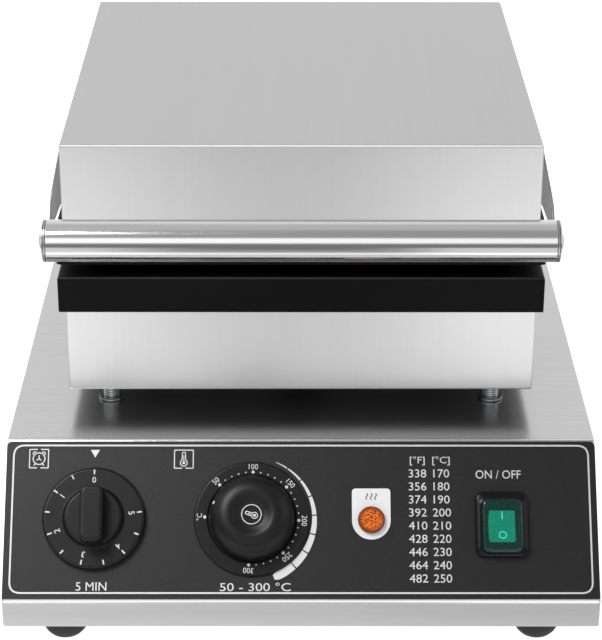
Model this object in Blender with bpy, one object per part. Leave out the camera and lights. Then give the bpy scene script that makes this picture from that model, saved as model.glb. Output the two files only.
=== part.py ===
"""Countertop waffle iron for four deep-pocket waffles, built as an assembly of separate pieces.

Metres, +Z up, +Y to the back. The origin is on the floor, under the middle of the whole part.
The lid, the two knobs and the rocker hang on empties that lie on their own axes.
"""
import bpy
import bmesh
from math import atan2, cos, hypot, pi, radians, sin
from mathutils import Matrix, Vector
from mathutils.geometry import interpolate_bezier

# Clearances shared by every piece
seat_gap = 0.0003
swing_gap = 0.0006
overrun = 0.002
merge_distance = 0.00003

# Base housing, a folded sheet with a sloping front panel
base_width = 0.320
base_depth = 0.400
foot_height = 0.0152
lip_height = 0.0155
panel_depth = 0.0575
panel_height = 0.0675
sheet = 0.0012
fold_radius = 0.0014
flange_width = 0.012
floor_inset = 0.003
vent_length = 0.034
vent_width = 0.005
vent_end_radius = 0.0024
vent_pitch = 0.012
floor_vent_pitch = 0.018
rear_vents = 5
floor_vents = 7
rear_vent_inset = 0.100
rear_vent_height = 0.042
floor_vent_setback = 0.150
floor_vent_inset = 0.096
hole_reach = 0.0036

# Rubber feet
foot_radius = 0.0121
foot_sole_radius = 0.0084
foot_bulge = 0.0042
foot_inset = 0.0317
foot_setback = 0.0205

# Control panel overlay and the controls on it: shares of the width, and heights up the slope
overlay_thick = 0.0005
overlay_corner = 0.0028
timer_share = -0.3484375
timer_s = 0.0445
thermostat_share = -0.0828125
thermostat_s = 0.0445
lamp_share = 0.118125
lamp_s = 0.0437
switch_share = 0.3375
switch_s = 0.0398

# Control shafts
shaft_radius = 0.003
shaft_clear = 0.0012
shaft_depth = 0.009
shaft_reach = 0.0115

# Timer: clockwork case and bell behind the panel, knob with a skirt and a bar grip
timer_case = 0.046
timer_case_deep = 0.026
timer_case_corner = 0.005
bell_radius = 0.017
bell_height = 0.009
skirt_lift = 0.0012
skirt_radius = 0.0277
skirt_thick = 0.0032
skirt_slope = 0.0012
hub_radius = 0.0162
hub_height = 0.0088
bar_width = 0.0126
bar_length = 0.0304
bar_height = 0.0195
bar_corner = 0.0042
bar_radius = 0.0016
bar_draft = 0.0006

# Thermostat: case behind the panel, fixed number ring, domed knob with a dish
thermostat_case_wide = 0.040
thermostat_case_tall = 0.032
thermostat_case_deep = 0.030
bezel_radius = 0.0312
bezel_height = 0.0030
bezel_plate = 0.0010
bezel_slope = 0.0008
dome_radius = 0.0228
dome_height = 0.0162
dome_skirt = 0.0040
dish_radius = 0.0124
dish_depth = 0.0016

# Capillary tube and sensing bulb
capillary_radius = 0.0011
bulb_radius = 0.0030
bulb_length = 0.070
capillary_bend = 0.012
capillary_side_share = 0.667
bulb_neck_radius = 0.0017

# Indicator lamp with its label
label_width = 0.0208
label_top_height = 0.0174
label_corner = 0.0020
label_thick = 0.0004
lens_radius = 0.0073
lens_height = 0.0034
lens_rim = 0.0010
lens_face_radius = 0.0036
lamp_barrel_radius = 0.0056
lamp_barrel_long = 0.028
lamp_nut_radius = 0.0095
lamp_nut_thick = 0.004

# Power switch: case, rocker and moulded splash cover
case_width = 0.0205
case_height = 0.0270
case_deep = 0.024
case_flange_corner = 0.0016
case_flange_width = 0.0252
case_flange_height = 0.0318
case_flange_thick = 0.0012
rocker_width = 0.0136
rocker_height = 0.0172
rocker_half_travel = radians(8)
rocker_crown = 0.0042
rocker_depth = 0.0058
rocker_root_share = 0.62
rocker_tail_share = 0.8
rocker_side_share = 0.98
rocker_edge_share = 0.2
boot_width = 0.0288
boot_height = 0.0357
boot_rise = 0.0015
boot_corner = 0.0045
boot_wall = 0.0011
boot_rim_height = 0.0036
boot_window_width = 0.0212
boot_window_height = 0.0286
boot_step_height = 0.0022
boot_crown_height = 0.0085

# Pieces inside the base
block_long = 0.050
block_deep = 0.022
block_high = 0.020
block_back = 0.060
block_poles = 3
block_slot = 0.0055
block_slot_low = 0.0067
block_slot_high = 0.0133
gland_inset = 0.055
gland_height = 0.040
gland_radius = 0.0075
gland_hex = 0.0115
gland_hex_long = 0.006
gland_dome_long = 0.010
gland_dome_base = 0.0033
gland_dome_radius = 0.0056
gland_bore = 0.0045
gland_inside = 0.012

# Heads: two covers with cast moulds that overhang them
head_setback = 0.0917
cover_width = 0.2571
cover_depth = 0.2695
cover_gap = 0.0130
lower_cover_height = 0.0486
upper_cover_height = 0.0466
mould_overhang = 0.0037
mould_thick = 0.0207
mould_gap = 0.0071
edge_chamfer = 0.0009

# Waffle pattern
land_inset = 0.0175
land_slope = 0.0010
land_border = 0.0050
closing_gap = 0.0005
cavity_rib = 0.0120
cavity_depth = 0.0140
cavity_draft = 0.0028
peg_size = 0.0135
peg_height = 0.0105
peg_draft = 0.0018
pegs_across = 4
pegs_deep = 5
cavities = 2

# Posts that carry the lower head
post_inset = 0.02155
post_setback = 0.0173
post_radius = 0.0045
post_tail = 0.002
post_bite = 0.030
nut_flats = 0.0077
nut_thick = 0.0060
collar_radius = 0.0071
collar_thick = 0.0012
boss_radius = 0.0080

# Wire duct between the base and the lower head
duct_radius = 0.0100
duct_bore = 0.0072
duct_collar = 0.0135
duct_tail = 0.006

# Tubular heaters, their clamps and the insulating pads
heater_radius = 0.0040
heater_inner = 0.030
heater_inset = 0.04055
heater_margin = 0.034
heater_bend = 0.014
heater_end_bend = 0.007
heater_tail = 0.020
clamp_width = 0.014
clamp_thick = 0.0020
clamp_forward = 0.032
clamp_boss_radius = 0.0055
pad_margin = 0.006
pad_thick = 0.014
pad_drop = 0.0003
pad_hole_clear = 0.003
pad_centre_hole = 0.016
cutout_radius = 0.0085
cutout_height = 0.007
cutout_setback = 0.045

# Side lugs that fix the upper cover to its mould
lug_thick = 0.010
lug_depth = 0.016
lug_height = 0.036
lug_front = 0.062
lug_rear = 0.180

# Handle
tube_radius = 0.0110
tube_wall = 0.0014
tube_forward = 0.0417
tube_height = 0.2181
arm_stand_off = 0.00345
arm_thick = 0.0010
arm_length = 0.092
arm_round_share = 0.58
arm_bend_share = 0.25
arm_flat_share = 0.57
arm_back_shares = (0.10, 0.19, 0.26, 0.34, 0.43, 0.49, 0.57, 0.67, 0.84, 1.0)
arm_low_shares = (-0.85, -0.62, -0.38, -0.16, -0.01, 0.09, 0.14, 0.14, 0.14, 0.36)
arm_high_shares = (0.55, 0.38, 0.99, 1.47, 1.96, 2.29, 2.72, 2.86, 2.86, 2.64)
cap_rim = 0.0003
cap_dome = 0.0011
screw_hole = 0.0024
screw_shank = 0.0020
screw_head = 0.0046
screw_dome = 0.0010
screw_long = 0.016
screw_slot_long = 0.0048
screw_slot_wide = 0.0009
screw_slot_deep = 0.0007

# Hinge
hinge_back = 0.0152
rod_radius = 0.0040
ear_radius = 0.0098
ear_thick = 0.0030
ear_inset = 0.03855
ear_foot_width = 0.030
ear_foot_thick = 0.0025
ear_foot_inset = 0.0040
horn_reach = 0.0220
horn_start = 0.0110
horn_drop = 0.0150
rod_end = 0.009
rod_nut_flats = 0.0070
rod_nut_thick = 0.0065
open_angle = radians(98)
bracket_eye_start = radians(62)
ear_eye_end = radians(30)

# Counts of flats on round pieces, and the angle from which an edge stays sharp
fine_steps = 36
round_steps = 20
small_steps = 12
hex_steps = 6
fold_steps = 2
bend_steps = 4
arm_steps = 8
dome_steps = 3
shoulder_steps = 5
tube_steps = 2
sharp_angle = radians(32)

# Heights and depths that follow
gland_out = sheet + gland_hex_long + gland_dome_long
front = -(base_depth + gland_out - sheet) / 2
back = front + base_depth
base_low = foot_height
lip_top = base_low + lip_height
base_top = lip_top + panel_height
panel_length = hypot(panel_depth, panel_height)
lower_low = base_top + cover_gap
lower_high = lower_low + lower_cover_height
lower_back_z = lower_high + seat_gap
lower_face_z = lower_back_z + mould_thick
upper_face_z = lower_face_z + mould_gap
upper_back_z = upper_face_z + mould_thick
upper_low = upper_back_z + seat_gap
upper_high = upper_low + upper_cover_height
head_front = front + head_setback
head_back = head_front + cover_depth
head_mid = (head_front + head_back) / 2
mould_width = cover_width + 2 * mould_overhang
mould_depth = cover_depth + 2 * mould_overhang
hinge_y = head_back + hinge_back
hinge_z = (lower_face_z + upper_face_z) / 2
tube_y = head_front - tube_forward
arm_face = cover_width / 2 + arm_stand_off
post_side = cover_width / 2 - post_inset
post_spread = cover_depth / 2 - post_setback
foot_side = base_width / 2 - foot_inset
gland_x = gland_inset - base_width / 2
timer_x = base_width * timer_share
thermostat_x = base_width * thermostat_share
lamp_x = base_width * lamp_share
switch_x = base_width * switch_share
heater_outer = cover_width / 2 - heater_inset
heater_middle = (heater_inner + heater_outer) / 2
heater_tail_y = mould_depth / 2 - heater_margin - 2 * heater_bend
ear_side = cover_width / 2 - ear_inset


def material(name, colour, roughness, metallic):
    """A Principled material with one plain finish."""
    made = bpy.data.materials.new(name)
    made.use_nodes = True
    shader = made.node_tree.nodes["Principled BSDF"]
    shader.inputs["Base Color"].default_value = (*colour, 1.0)
    shader.inputs["Roughness"].default_value = roughness
    shader.inputs["Metallic"].default_value = metallic
    made.diffuse_color = (*colour, 1.0)
    return made


def add_empty(name, place, parent=None):
    """An empty that marks a joint's axis or a working plane."""
    made = bpy.data.objects.new(name, None)
    bpy.context.scene.collection.objects.link(made)
    made.parent = parent
    made.matrix_local = place
    return made


def add_piece(name, shape, finish=None, holder=None, spot=(0, 0, 0)):
    """Turn a bmesh into a named object at a spot in its holder's axes."""
    mesh = bpy.data.meshes.new(name)
    shape.to_mesh(mesh)
    shape.free()
    mesh.shade_smooth()
    mesh.set_sharp_from_angle(angle=sharp_angle)
    made = bpy.data.objects.new(name, mesh)
    bpy.context.scene.collection.objects.link(made)
    made.parent = holder
    made.location = spot
    if finish is not None:
        mesh.materials.append(finish)
    return made


def lid_piece(name, shape, finish, axis):
    """A piece drawn in world axes that turns with the lid's empty."""
    bmesh.ops.translate(shape, verts=shape.verts, vec=-axis.matrix_world.translation)
    return add_piece(name, shape, finish, axis)


def combine(target, tool_name, shape, operation):
    """Cut or join a hidden tool shape, drawn in the target's own axes."""
    tool = add_piece(tool_name, shape, None, target.parent, target.location)
    tool.hide_render = True
    tool.display_type = "WIRE"
    step = target.modifiers.new(tool_name, "BOOLEAN")
    step.operation = operation
    step.solver = "EXACT"
    step.object = tool


def cut(target, tool_name, shape):
    combine(target, tool_name, shape, "DIFFERENCE")


def join(target, tool_name, shape):
    combine(target, tool_name, shape, "UNION")


def add_prism(shape, outline, low, high, place=None):
    """Extrude an anticlockwise outline from one height to another, then place it."""
    place = place or Matrix.Identity(4)
    floor = [shape.verts.new(place @ Vector((a, b, low))) for a, b in outline]
    roof = [shape.verts.new(place @ Vector((a, b, high))) for a, b in outline]
    count = len(outline)
    shape.faces.new(list(reversed(floor)))
    shape.faces.new(roof)
    for i in range(count):
        j = (i + 1) % count
        shape.faces.new((floor[i], floor[j], roof[j], roof[i]))
    return shape


def prism(outline, low, high, place=None):
    return add_prism(bmesh.new(), outline, low, high, place)


def rectangle(width, height, x=0.0, y=0.0):
    """Four corners, anticlockwise, of a rectangle about a point."""
    return [(x + i * width / 2, y + j * height / 2)
            for i, j in ((-1, -1), (1, -1), (1, 1), (-1, 1))]


def rounded(width, height, radii, x=0.0, y=0.0, steps=3):
    """A rectangle whose corners, from lower left anticlockwise, are arcs of the given radii."""
    points = []
    for (i, j), radius, start in zip(((-1, -1), (1, -1), (1, 1), (-1, 1)), radii, (2, 3, 0, 1)):
        centre_x = x + i * (width / 2 - radius)
        centre_y = y + j * (height / 2 - radius)
        for k in range(steps + 1):
            angle = (start + k / steps) * pi / 2
            points.append((centre_x + radius * cos(angle), centre_y + radius * sin(angle)))
    return points


def polygon(radius, sides, turn=0.0):
    return [(radius * cos(turn + 2 * pi * k / sides), radius * sin(turn + 2 * pi * k / sides))
            for k in range(sides)]


def add_box(shape, low, high):
    """A box between two corners."""
    outline = [(low[0], low[1]), (high[0], low[1]), (high[0], high[1]), (low[0], high[1])]
    return add_prism(shape, outline, low[2], high[2])


def box(low, high):
    return add_box(bmesh.new(), low, high)


def add_turned(shape, profile, steps, place=None):
    """Turn a profile of (radius, height), up its outer side. It closes at poles or on itself."""
    place = place or Matrix.Identity(4)
    rings = []
    for radius, height in profile:
        if radius == 0:
            rings.append([shape.verts.new(place @ Vector((0, 0, height)))])
            continue
        rings.append([shape.verts.new(place @ Vector((a, b, height)))
                      for a, b in polygon(radius, steps)])
    spans = list(zip(rings, rings[1:]))
    if len(rings[0]) > 1:
        spans.append((rings[-1], rings[0]))
    for lower, upper in spans:
        for k in range(steps):
            n = (k + 1) % steps
            corners = [lower[k % len(lower)], lower[n % len(lower)],
                       upper[n % len(upper)], upper[k % len(upper)]]
            shape.faces.new(list(dict.fromkeys(corners)))
    return shape


def turned(profile, steps, place=None):
    return add_turned(bmesh.new(), profile, steps, place)


def add_rod(shape, radius, low, high, steps, place=None):
    return add_turned(shape, [(0, low), (radius, low), (radius, high), (0, high)], steps, place)


def rod_mesh(radius, low, high, steps, place=None):
    return add_rod(bmesh.new(), radius, low, high, steps, place)


def quarter(steps):
    """Cosine and sine at even steps of a quarter turn, without its start."""
    angles = [k / steps * pi / 2 for k in range(1, steps + 1)]
    return [(round(cos(angle), 12), round(sin(angle), 12)) for angle in angles]


def round_edges(shape, radius, steps, choose):
    """Round the edges that a test on their two ends picks."""
    edges = [edge for edge in shape.edges if choose(edge.verts[0].co, edge.verts[1].co)]
    bmesh.ops.bevel(shape, geom=edges, offset=radius, segments=steps, profile=0.5,
                    affect="EDGES", clamp_overlap=True)
    return shape


def arc(centre, radius, start, end, steps):
    """Points of an arc about a centre, between two angles."""
    return [(centre[0] + radius * cos(start + (end - start) * k / steps),
             centre[1] + radius * sin(start + (end - start) * k / steps))
            for k in range(steps + 1)]


# Matrices that stand a prism's outline up: across (Y, Z) with its length on X, or (X, Z) on -Y
side_on = Matrix(((0, 0, 1, 0), (1, 0, 0, 0), (0, 1, 0, 0), (0, 0, 0, 1)))
end_on = Matrix(((1, 0, 0, 0), (0, 0, -1, 0), (0, 1, 0, 0), (0, 0, 0, 1)))


def at(x, y, z):
    return Matrix.Translation((x, y, z))


def base_outline(inset, low):
    """The base's side view, moved inwards by an inset, from a low edge up."""
    high = base_top - inset
    near = front + inset
    return [(near, low), (back - inset, low), (back - inset, high),
            (slope_y(high, inset), high), (near, slope_z(near, inset))]


def slope_y(z, inset):
    """Where the panel's plane, moved inwards, meets a height."""
    return front + (z - lip_top) * panel_depth / panel_height + inset * panel_length / panel_height


def slope_z(y, inset):
    """Where the panel's plane, moved inwards, meets a depth."""
    return lip_top + (y - front) * panel_height / panel_depth - inset * panel_length / panel_depth


def panel_holes(shape, spare):
    """Cutters for the controls, in the panel's axes, each wider by a spare amount."""
    deep = hole_reach + spare
    room = seat_gap + spare
    for x, s in ((timer_x, timer_s), (thermostat_x, thermostat_s)):
        add_rod(shape, shaft_radius + shaft_clear + spare, -deep, deep, small_steps, at(x, s, 0))
    add_rod(shape, lamp_barrel_radius + room, -deep, deep, small_steps, at(lamp_x, lamp_s, 0))
    outline = rectangle(case_width + 2 * room, case_height + 2 * room, switch_x, switch_s)
    return add_prism(shape, outline, -deep, deep)


def to_world(shape, holder):
    """Move a shape from a holder's axes to the world's."""
    bmesh.ops.transform(shape, matrix=holder.matrix_world, verts=shape.verts)
    return shape


def make_base_shell(finish, panel):
    """Folded sheet housing: lip, sloping panel, top, sides, back and a flange round its bottom."""
    shape = prism(base_outline(0, base_low), -base_width / 2, base_width / 2, side_on)
    low = base_low + seat_gap
    round_edges(shape, fold_radius, fold_steps, lambda a, b: max(a.z, b.z) > low)
    shell = add_piece("base_shell", shape, finish)
    half = base_width / 2 - sheet
    cavity = prism(base_outline(sheet, base_low + sheet), -half, half, side_on)
    cut(shell, "cut_base_cavity", cavity)
    mouth = half - flange_width
    cut(shell, "cut_base_mouth", box((-mouth, front + sheet + flange_width, base_low - overrun),
                                     (mouth, back - sheet - flange_width, base_low + sheet + overrun)))
    cut(shell, "cut_panel_holes", to_world(panel_holes(bmesh.new(), 0), panel))
    cut(shell, "cut_base_top_holes", sheet_holes(base_top - sheet))
    rear = bmesh.new()
    deep = sheet + overrun
    gland_place = at(gland_x, back, base_low + gland_height) @ Matrix.Rotation(pi / 2, 4, "X")
    add_rod(rear, gland_radius + seat_gap, -deep, deep, small_steps, gland_place)
    middle = base_width / 2 - rear_vent_inset
    for k in range(rear_vents):
        x = middle + (k - (rear_vents - 1) / 2) * vent_pitch
        outline = rounded(vent_width, vent_length, [vent_end_radius] * 4, x,
                          base_low + rear_vent_height, fold_steps)
        add_prism(rear, outline, -deep, deep, at(0, back, 0) @ end_on)
    cut(shell, "cut_base_back_holes", rear)


def sheet_holes(low):
    """Cutters through a level sheet, from its underside, for the posts and the duct."""
    holes = bmesh.new()
    start = low - overrun
    end = low + sheet + overrun
    for x, y in post_places():
        add_rod(holes, post_radius + seat_gap, start, end, small_steps, at(x, y, 0))
    return add_rod(holes, duct_radius + seat_gap, start, end, round_steps, at(0, head_mid, 0))


def make_base_floor(finish):
    """Bottom plate with ventilation slots, fixed under the base's flange."""
    inset = floor_inset
    top = base_low - seat_gap
    shape = box((-base_width / 2 + inset, front + inset, top - sheet),
                (base_width / 2 - inset, back - inset, top))
    plate = add_piece("base_floor", shape, finish)
    slots = bmesh.new()
    for side in (-1, 1):
        for k in range(floor_vents):
            y = front + floor_vent_setback + k * floor_vent_pitch
            outline = rounded(vent_length, vent_width, [vent_end_radius] * 4,
                              side * (base_width / 2 - floor_vent_inset), y, fold_steps)
            add_prism(slots, outline, top - sheet - overrun, top + overrun)
    cut(plate, "cut_floor_vents", slots)


def make_feet(finish):
    """Four rubber feet under the bottom plate, flat where they stand."""
    height = base_low - 2 * seat_gap - sheet
    profile = [(0, 0), (foot_sole_radius, 0)]
    profile += [(foot_sole_radius + (foot_radius - foot_sole_radius) * rise, foot_bulge * (1 - run))
                for run, rise in quarter(dome_steps)]
    profile += [(foot_radius, height), (0, height)]
    for row, y in (("front", front + foot_setback), ("rear", back - foot_setback)):
        for side, x in (("left", -foot_side), ("right", foot_side)):
            add_piece(f"foot_{row}_{side}", turned(profile, round_steps), finish, None, (x, y, 0))


def make_overlay(finish, panel):
    """Printed sheet on the sloping panel, cut out for the controls."""
    wide = base_width - 2 * seat_gap
    tall = panel_length - 2 * fold_radius
    outline = rounded(wide, tall, [seat_gap, seat_gap, overlay_corner, overlay_corner],
                      0, panel_length / 2)
    sheet_piece = add_piece("panel_overlay", prism(outline, seat_gap, seat_gap + overlay_thick),
                            finish, panel)
    cut(sheet_piece, "cut_overlay_holes", panel_holes(bmesh.new(), seat_gap))


def overlay_face():
    """Height of the overlay's front face over the panel's plane."""
    return seat_gap + overlay_thick


def make_timer(dark, steel, brass, holder):
    """Clockwork timer: case and bell behind the panel, shaft and knob that turn."""
    front_face = -sheet - seat_gap
    outline = rounded(timer_case, timer_case, [timer_case_corner] * 4)
    case = add_piece("timer_body", prism(outline, front_face - timer_case_deep, front_face),
                     steel, holder)
    cut(case, "cut_timer_body_bore",
        rod_mesh(shaft_radius + seat_gap, -shaft_depth - sheet, front_face + overrun, small_steps))
    bell_seat = front_face - timer_case_deep - seat_gap
    bell = [(0, bell_seat - bell_height)]
    bell += [(bell_radius * rise, bell_seat - bell_height * run) for run, rise in quarter(bend_steps)]
    bell += [(0, bell_seat)]
    add_piece("timer_bell", turned(bell, round_steps), brass, holder)
    add_piece("timer_shaft", rod_mesh(shaft_radius, -shaft_depth, shaft_reach, small_steps),
              steel, holder)
    low = overlay_face() + skirt_lift
    rim = low + skirt_thick - skirt_slope
    face = low + skirt_thick
    knob_shape = turned([(0, low), (skirt_radius, low), (skirt_radius, rim),
                         (skirt_radius - skirt_slope, face), (hub_radius, face),
                         (hub_radius - skirt_slope, hub_height), (0, hub_height)], fine_steps)
    knob = add_piece("timer_knob", knob_shape, dark, holder)
    grip = prism(rounded(bar_width, bar_length, [bar_corner] * 4), face, bar_height)
    for vert in grip.verts:
        if vert.co.z > face:
            vert.co.x *= 1 - bar_draft / bar_width
            vert.co.y *= 1 - bar_draft / bar_width
    round_edges(grip, bar_radius, fold_steps, lambda a, b: min(a.z, b.z) > bar_height - seat_gap)
    join(knob, "join_timer_grip", grip)
    cut(knob, "cut_timer_knob_bore",
        rod_mesh(shaft_radius + seat_gap, low - overrun, shaft_reach + seat_gap, small_steps))


def make_thermostat(dark, steel, holder):
    """Capillary thermostat: case behind the panel, fixed number ring, domed knob on a shaft."""
    front_face = -sheet - seat_gap
    outline = rounded(thermostat_case_wide, thermostat_case_tall, [timer_case_corner] * 4)
    case = add_piece("thermostat_body",
                     prism(outline, front_face - thermostat_case_deep, front_face), steel, holder)
    cut(case, "cut_thermostat_body_bore",
        rod_mesh(shaft_radius + seat_gap, -shaft_depth - sheet, front_face + overrun, small_steps))
    add_piece("thermostat_shaft", rod_mesh(shaft_radius, -shaft_depth, shaft_reach, small_steps),
              steel, holder)
    low = overlay_face() + seat_gap
    well = dome_radius + swing_gap
    hole = shaft_radius + shaft_clear
    ring = [(hole, low), (bezel_radius, low), (bezel_radius, bezel_height - bezel_slope),
            (bezel_radius - bezel_slope, bezel_height), (well, bezel_height),
            (well, low + bezel_plate), (hole, low + bezel_plate)]
    add_piece("thermostat_bezel", turned(ring, fine_steps), dark, holder)
    start = low + bezel_plate + swing_gap
    profile = [(0, start), (dome_radius, start), (dome_radius, start + dome_skirt)]
    shoulder = dome_radius - dish_radius
    crown = dome_height - start - dome_skirt
    profile += [(dish_radius + shoulder * run, start + dome_skirt + crown * rise)
                for run, rise in quarter(shoulder_steps)]
    for k in range(dome_steps):
        share = 1 - (k + 1) / dome_steps
        profile.append((dish_radius * share, dome_height - dish_depth * (1 - share * share)))
    knob = add_piece("thermostat_knob", turned(profile, fine_steps), dark, holder)
    cut(knob, "cut_thermostat_knob_bore",
        rod_mesh(shaft_radius + seat_gap, start - overrun, shaft_reach + seat_gap, small_steps))


def make_lamp(amber, white, dark, holder):
    """Indicator lamp: label on the overlay, faceted lens, barrel and nut behind the panel."""
    face = overlay_face() + seat_gap
    half = label_width / 2
    top = label_top_height
    outline = arc((0, 0), half, pi, 2 * pi, small_steps)
    outline += arc((half - label_corner, top - label_corner), label_corner, 0, pi / 2, bend_steps)
    outline += arc((label_corner - half, top - label_corner), label_corner, pi / 2, pi, bend_steps)
    label = add_piece("lamp_label", prism(outline, face, face + label_thick), white, holder)
    hole = lamp_barrel_radius + 2 * seat_gap
    cut(label, "cut_label_hole", rod_mesh(hole, face - overrun, face + label_thick + overrun, small_steps))
    seat = face + label_thick + seat_gap
    lens = [(0, seat), (lens_radius, seat), (lens_radius, seat + lens_rim),
            (lens_radius - lens_rim, seat + 2 * lens_rim), (lens_face_radius, seat + lens_height),
            (0, seat + lens_height)]
    add_piece("lamp_lens", turned(lens, round_steps), amber, holder)
    tail = -lamp_barrel_long
    add_piece("lamp_body", rod_mesh(lamp_barrel_radius, tail, seat - seat_gap, small_steps), dark, holder)
    nut_top = -sheet - seat_gap
    bore = lamp_barrel_radius + seat_gap
    add_piece("lamp_nut", hex_ring(lamp_nut_radius, bore, nut_top - lamp_nut_thick, nut_top), dark, holder)


def hex_ring(across, bore, low, high):
    """A hexagonal ring with a round bore."""
    shape = bmesh.new()
    middles = polygon(across * cos(pi / hex_steps), hex_steps)
    corners = polygon(across, hex_steps, pi / hex_steps)
    outer = [point for pair in zip(middles, corners) for point in pair]
    inner = polygon(bore, hex_steps * 2)
    rings = [[shape.verts.new((a, b, z)) for a, b in line]
             for line, z in ((outer, low), (outer, high), (inner, high), (inner, low))]
    for lower, upper in zip(rings, rings[1:] + rings[:1]):
        for k in range(hex_steps * 2):
            n = (k + 1) % (hex_steps * 2)
            shape.faces.new((lower[k], lower[n], upper[n], upper[k]))
    return shape


def make_switch(dark, green, holder, rocker_axis):
    """Rocker switch in its case, under a moulded splash cover."""
    face = overlay_face() + seat_gap
    case = prism(rectangle(case_width, case_height), -case_deep, face + case_flange_thick / 2)
    body = add_piece("switch_body", case, dark, holder)
    join(body, "join_switch_flange",
         prism(rounded(case_flange_width, case_flange_height, [case_flange_corner] * 4, 0, boot_rise),
               face, face + case_flange_thick))
    well = prism(rectangle(rocker_width + 2 * swing_gap, rocker_height + 2 * swing_gap),
                 face - rocker_depth - swing_gap, face + case_flange_thick + overrun)
    cut(body, "cut_switch_well", well)
    seat = face + case_flange_thick
    half = rocker_height / 2
    crown = rocker_crown - case_flange_thick
    side = half * cos(rocker_half_travel) * rocker_side_share
    root = half * cos(rocker_half_travel) * rocker_root_share
    tail = -rocker_depth * rocker_tail_share
    edge = crown * rocker_edge_share
    tip = crown + half * sin(rocker_half_travel)
    outline = [(-root, tail), (root, tail), (side, edge), (side, tip), (0, crown), (-side, tip),
               (-side, edge)]
    rocker_shape = prism(outline, -rocker_width / 2, rocker_width / 2, side_on)
    bmesh.ops.rotate(rocker_shape, verts=rocker_shape.verts, cent=(0, 0, 0),
                     matrix=Matrix.Rotation(-rocker_half_travel, 3, "X"))
    add_piece("switch_rocker", rocker_shape, green, rocker_axis)
    rocker_axis.location.z = seat - case_flange_thick
    outer = boot_shape(0, face, boot_crown_height)
    boot = add_piece("switch_boot", outer, green, holder)
    cut(boot, "cut_boot_inside", boot_shape(boot_wall, face - overrun, boot_crown_height - boot_wall))
    room = prism(rectangle(case_flange_width + 2 * seat_gap, case_flange_height + 2 * seat_gap,
                           0, boot_rise), face - overrun, face + case_flange_thick + seat_gap)
    cut(boot, "cut_boot_seat", room)


def boot_shape(inset, low, high):
    """A stepped cover: a rounded base, drawn in to a raised window below its middle."""
    shape = bmesh.new()
    shoulder = low + boot_rim_height if inset == 0 else overlay_face() + boot_rim_height - inset
    levels = ((boot_width, boot_height, boot_rise, low),
              (boot_width, boot_height, boot_rise, shoulder),
              (boot_window_width + boot_wall, boot_window_height + boot_wall, 0,
               shoulder + boot_step_height),
              (boot_window_width, boot_window_height, 0, high))
    rings = []
    for width, height, middle, z in levels:
        outline = rounded(width - 2 * inset, height - 2 * inset, [boot_corner - inset] * 4, 0, middle)
        rings.append([shape.verts.new((a, b, z)) for a, b in outline])
    count = len(rings[0])
    shape.faces.new(list(reversed(rings[0])))
    shape.faces.new(rings[-1])
    for lower, upper in zip(rings, rings[1:]):
        for k in range(count):
            n = (k + 1) % count
            shape.faces.new((lower[k], lower[n], upper[n], upper[k]))
    return shape


def make_terminal_block(finish):
    """Terminal block on the bottom plate, with a slot for each pole."""
    low = base_low + seat_gap
    y = back - block_back
    block = add_piece("terminal_block",
                      box((gland_x - block_long / 2, y - block_deep / 2, low),
                          (gland_x + block_long / 2, y + block_deep / 2, low + block_high)), finish)
    slots = bmesh.new()
    for k in range(block_poles):
        x = gland_x + (k - (block_poles - 1) / 2) * block_long / block_poles
        add_box(slots, (x - block_slot / 2, y - block_deep, low + block_slot_low),
                (x + block_slot / 2, y + block_deep, low + block_slot_high))
    cut(block, "cut_block_slots", slots)


def make_gland(finish):
    """Mains cable gland in the back wall: body, hexagon and dome, bored through."""
    place = at(gland_x, back, base_low + gland_height) @ Matrix.Rotation(-pi / 2, 4, "X")
    inside = -sheet - gland_inside
    out = seat_gap + gland_hex_long
    tip = gland_out - sheet
    profile = [(gland_bore, inside), (gland_radius, inside), (gland_radius, seat_gap),
               (gland_hex, seat_gap), (gland_hex, out), (gland_radius, out),
               (gland_radius, out + gland_dome_base), (gland_dome_radius, tip), (gland_bore, tip)]
    add_piece("cable_gland", turned(profile, small_steps, place), finish)


def post_places():
    return [(i * post_side, head_mid + j * post_spread) for j in (-1, 1) for i in (-1, 1)]


def make_posts(steel):
    """Four collared studs, nutted under the base's top, that carry the lower head."""
    names = ("front_left", "front_right", "rear_left", "rear_right")
    nut_top = base_top - sheet - seat_gap
    nut_low = nut_top - nut_thick
    seat = base_top + seat_gap
    high = lower_low + sheet + post_bite
    profile = [(0, nut_low - post_tail), (post_radius, nut_low - post_tail), (post_radius, seat),
               (collar_radius, seat), (collar_radius, seat + collar_thick),
               (post_radius, seat + collar_thick), (post_radius, high), (0, high)]
    for name, (x, y) in zip(names, post_places()):
        add_piece(f"post_{name}", turned(profile, small_steps), steel, None, (x, y, 0))
        nut = hex_ring(nut_flats, post_radius + seat_gap, nut_low, nut_top)
        add_piece(f"post_nut_{name}", nut, steel, None, (x, y, 0))


def make_duct(finish):
    """Sleeve that carries the wires from the base into the lower head."""
    low = base_top - sheet - duct_tail
    high = lower_low + sheet + duct_tail
    collar_low = base_top + seat_gap
    collar_high = lower_low - seat_gap
    profile = [(duct_bore, low), (duct_radius, low), (duct_radius, collar_low),
               (duct_collar, collar_low), (duct_collar, collar_high), (duct_radius, collar_high),
               (duct_radius, high), (duct_bore, high)]
    add_piece("wire_duct", turned(profile, round_steps, at(0, head_mid, 0)), finish)


def cover_shape(low, high, open_low):
    """A cover's outer block, rounded on every edge but those of its open side."""
    shape = box((-cover_width / 2, head_front, low), (cover_width / 2, head_back, high))
    mouth = low if open_low else high
    return round_edges(shape, fold_radius, fold_steps,
                       lambda a, b: abs(a.z - mouth) + abs(b.z - mouth) > seat_gap)


def cover_room(low, high):
    """The space inside a cover."""
    half = cover_width / 2 - sheet
    return box((-half, head_front + sheet, low), (half, head_back - sheet, high))


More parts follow.
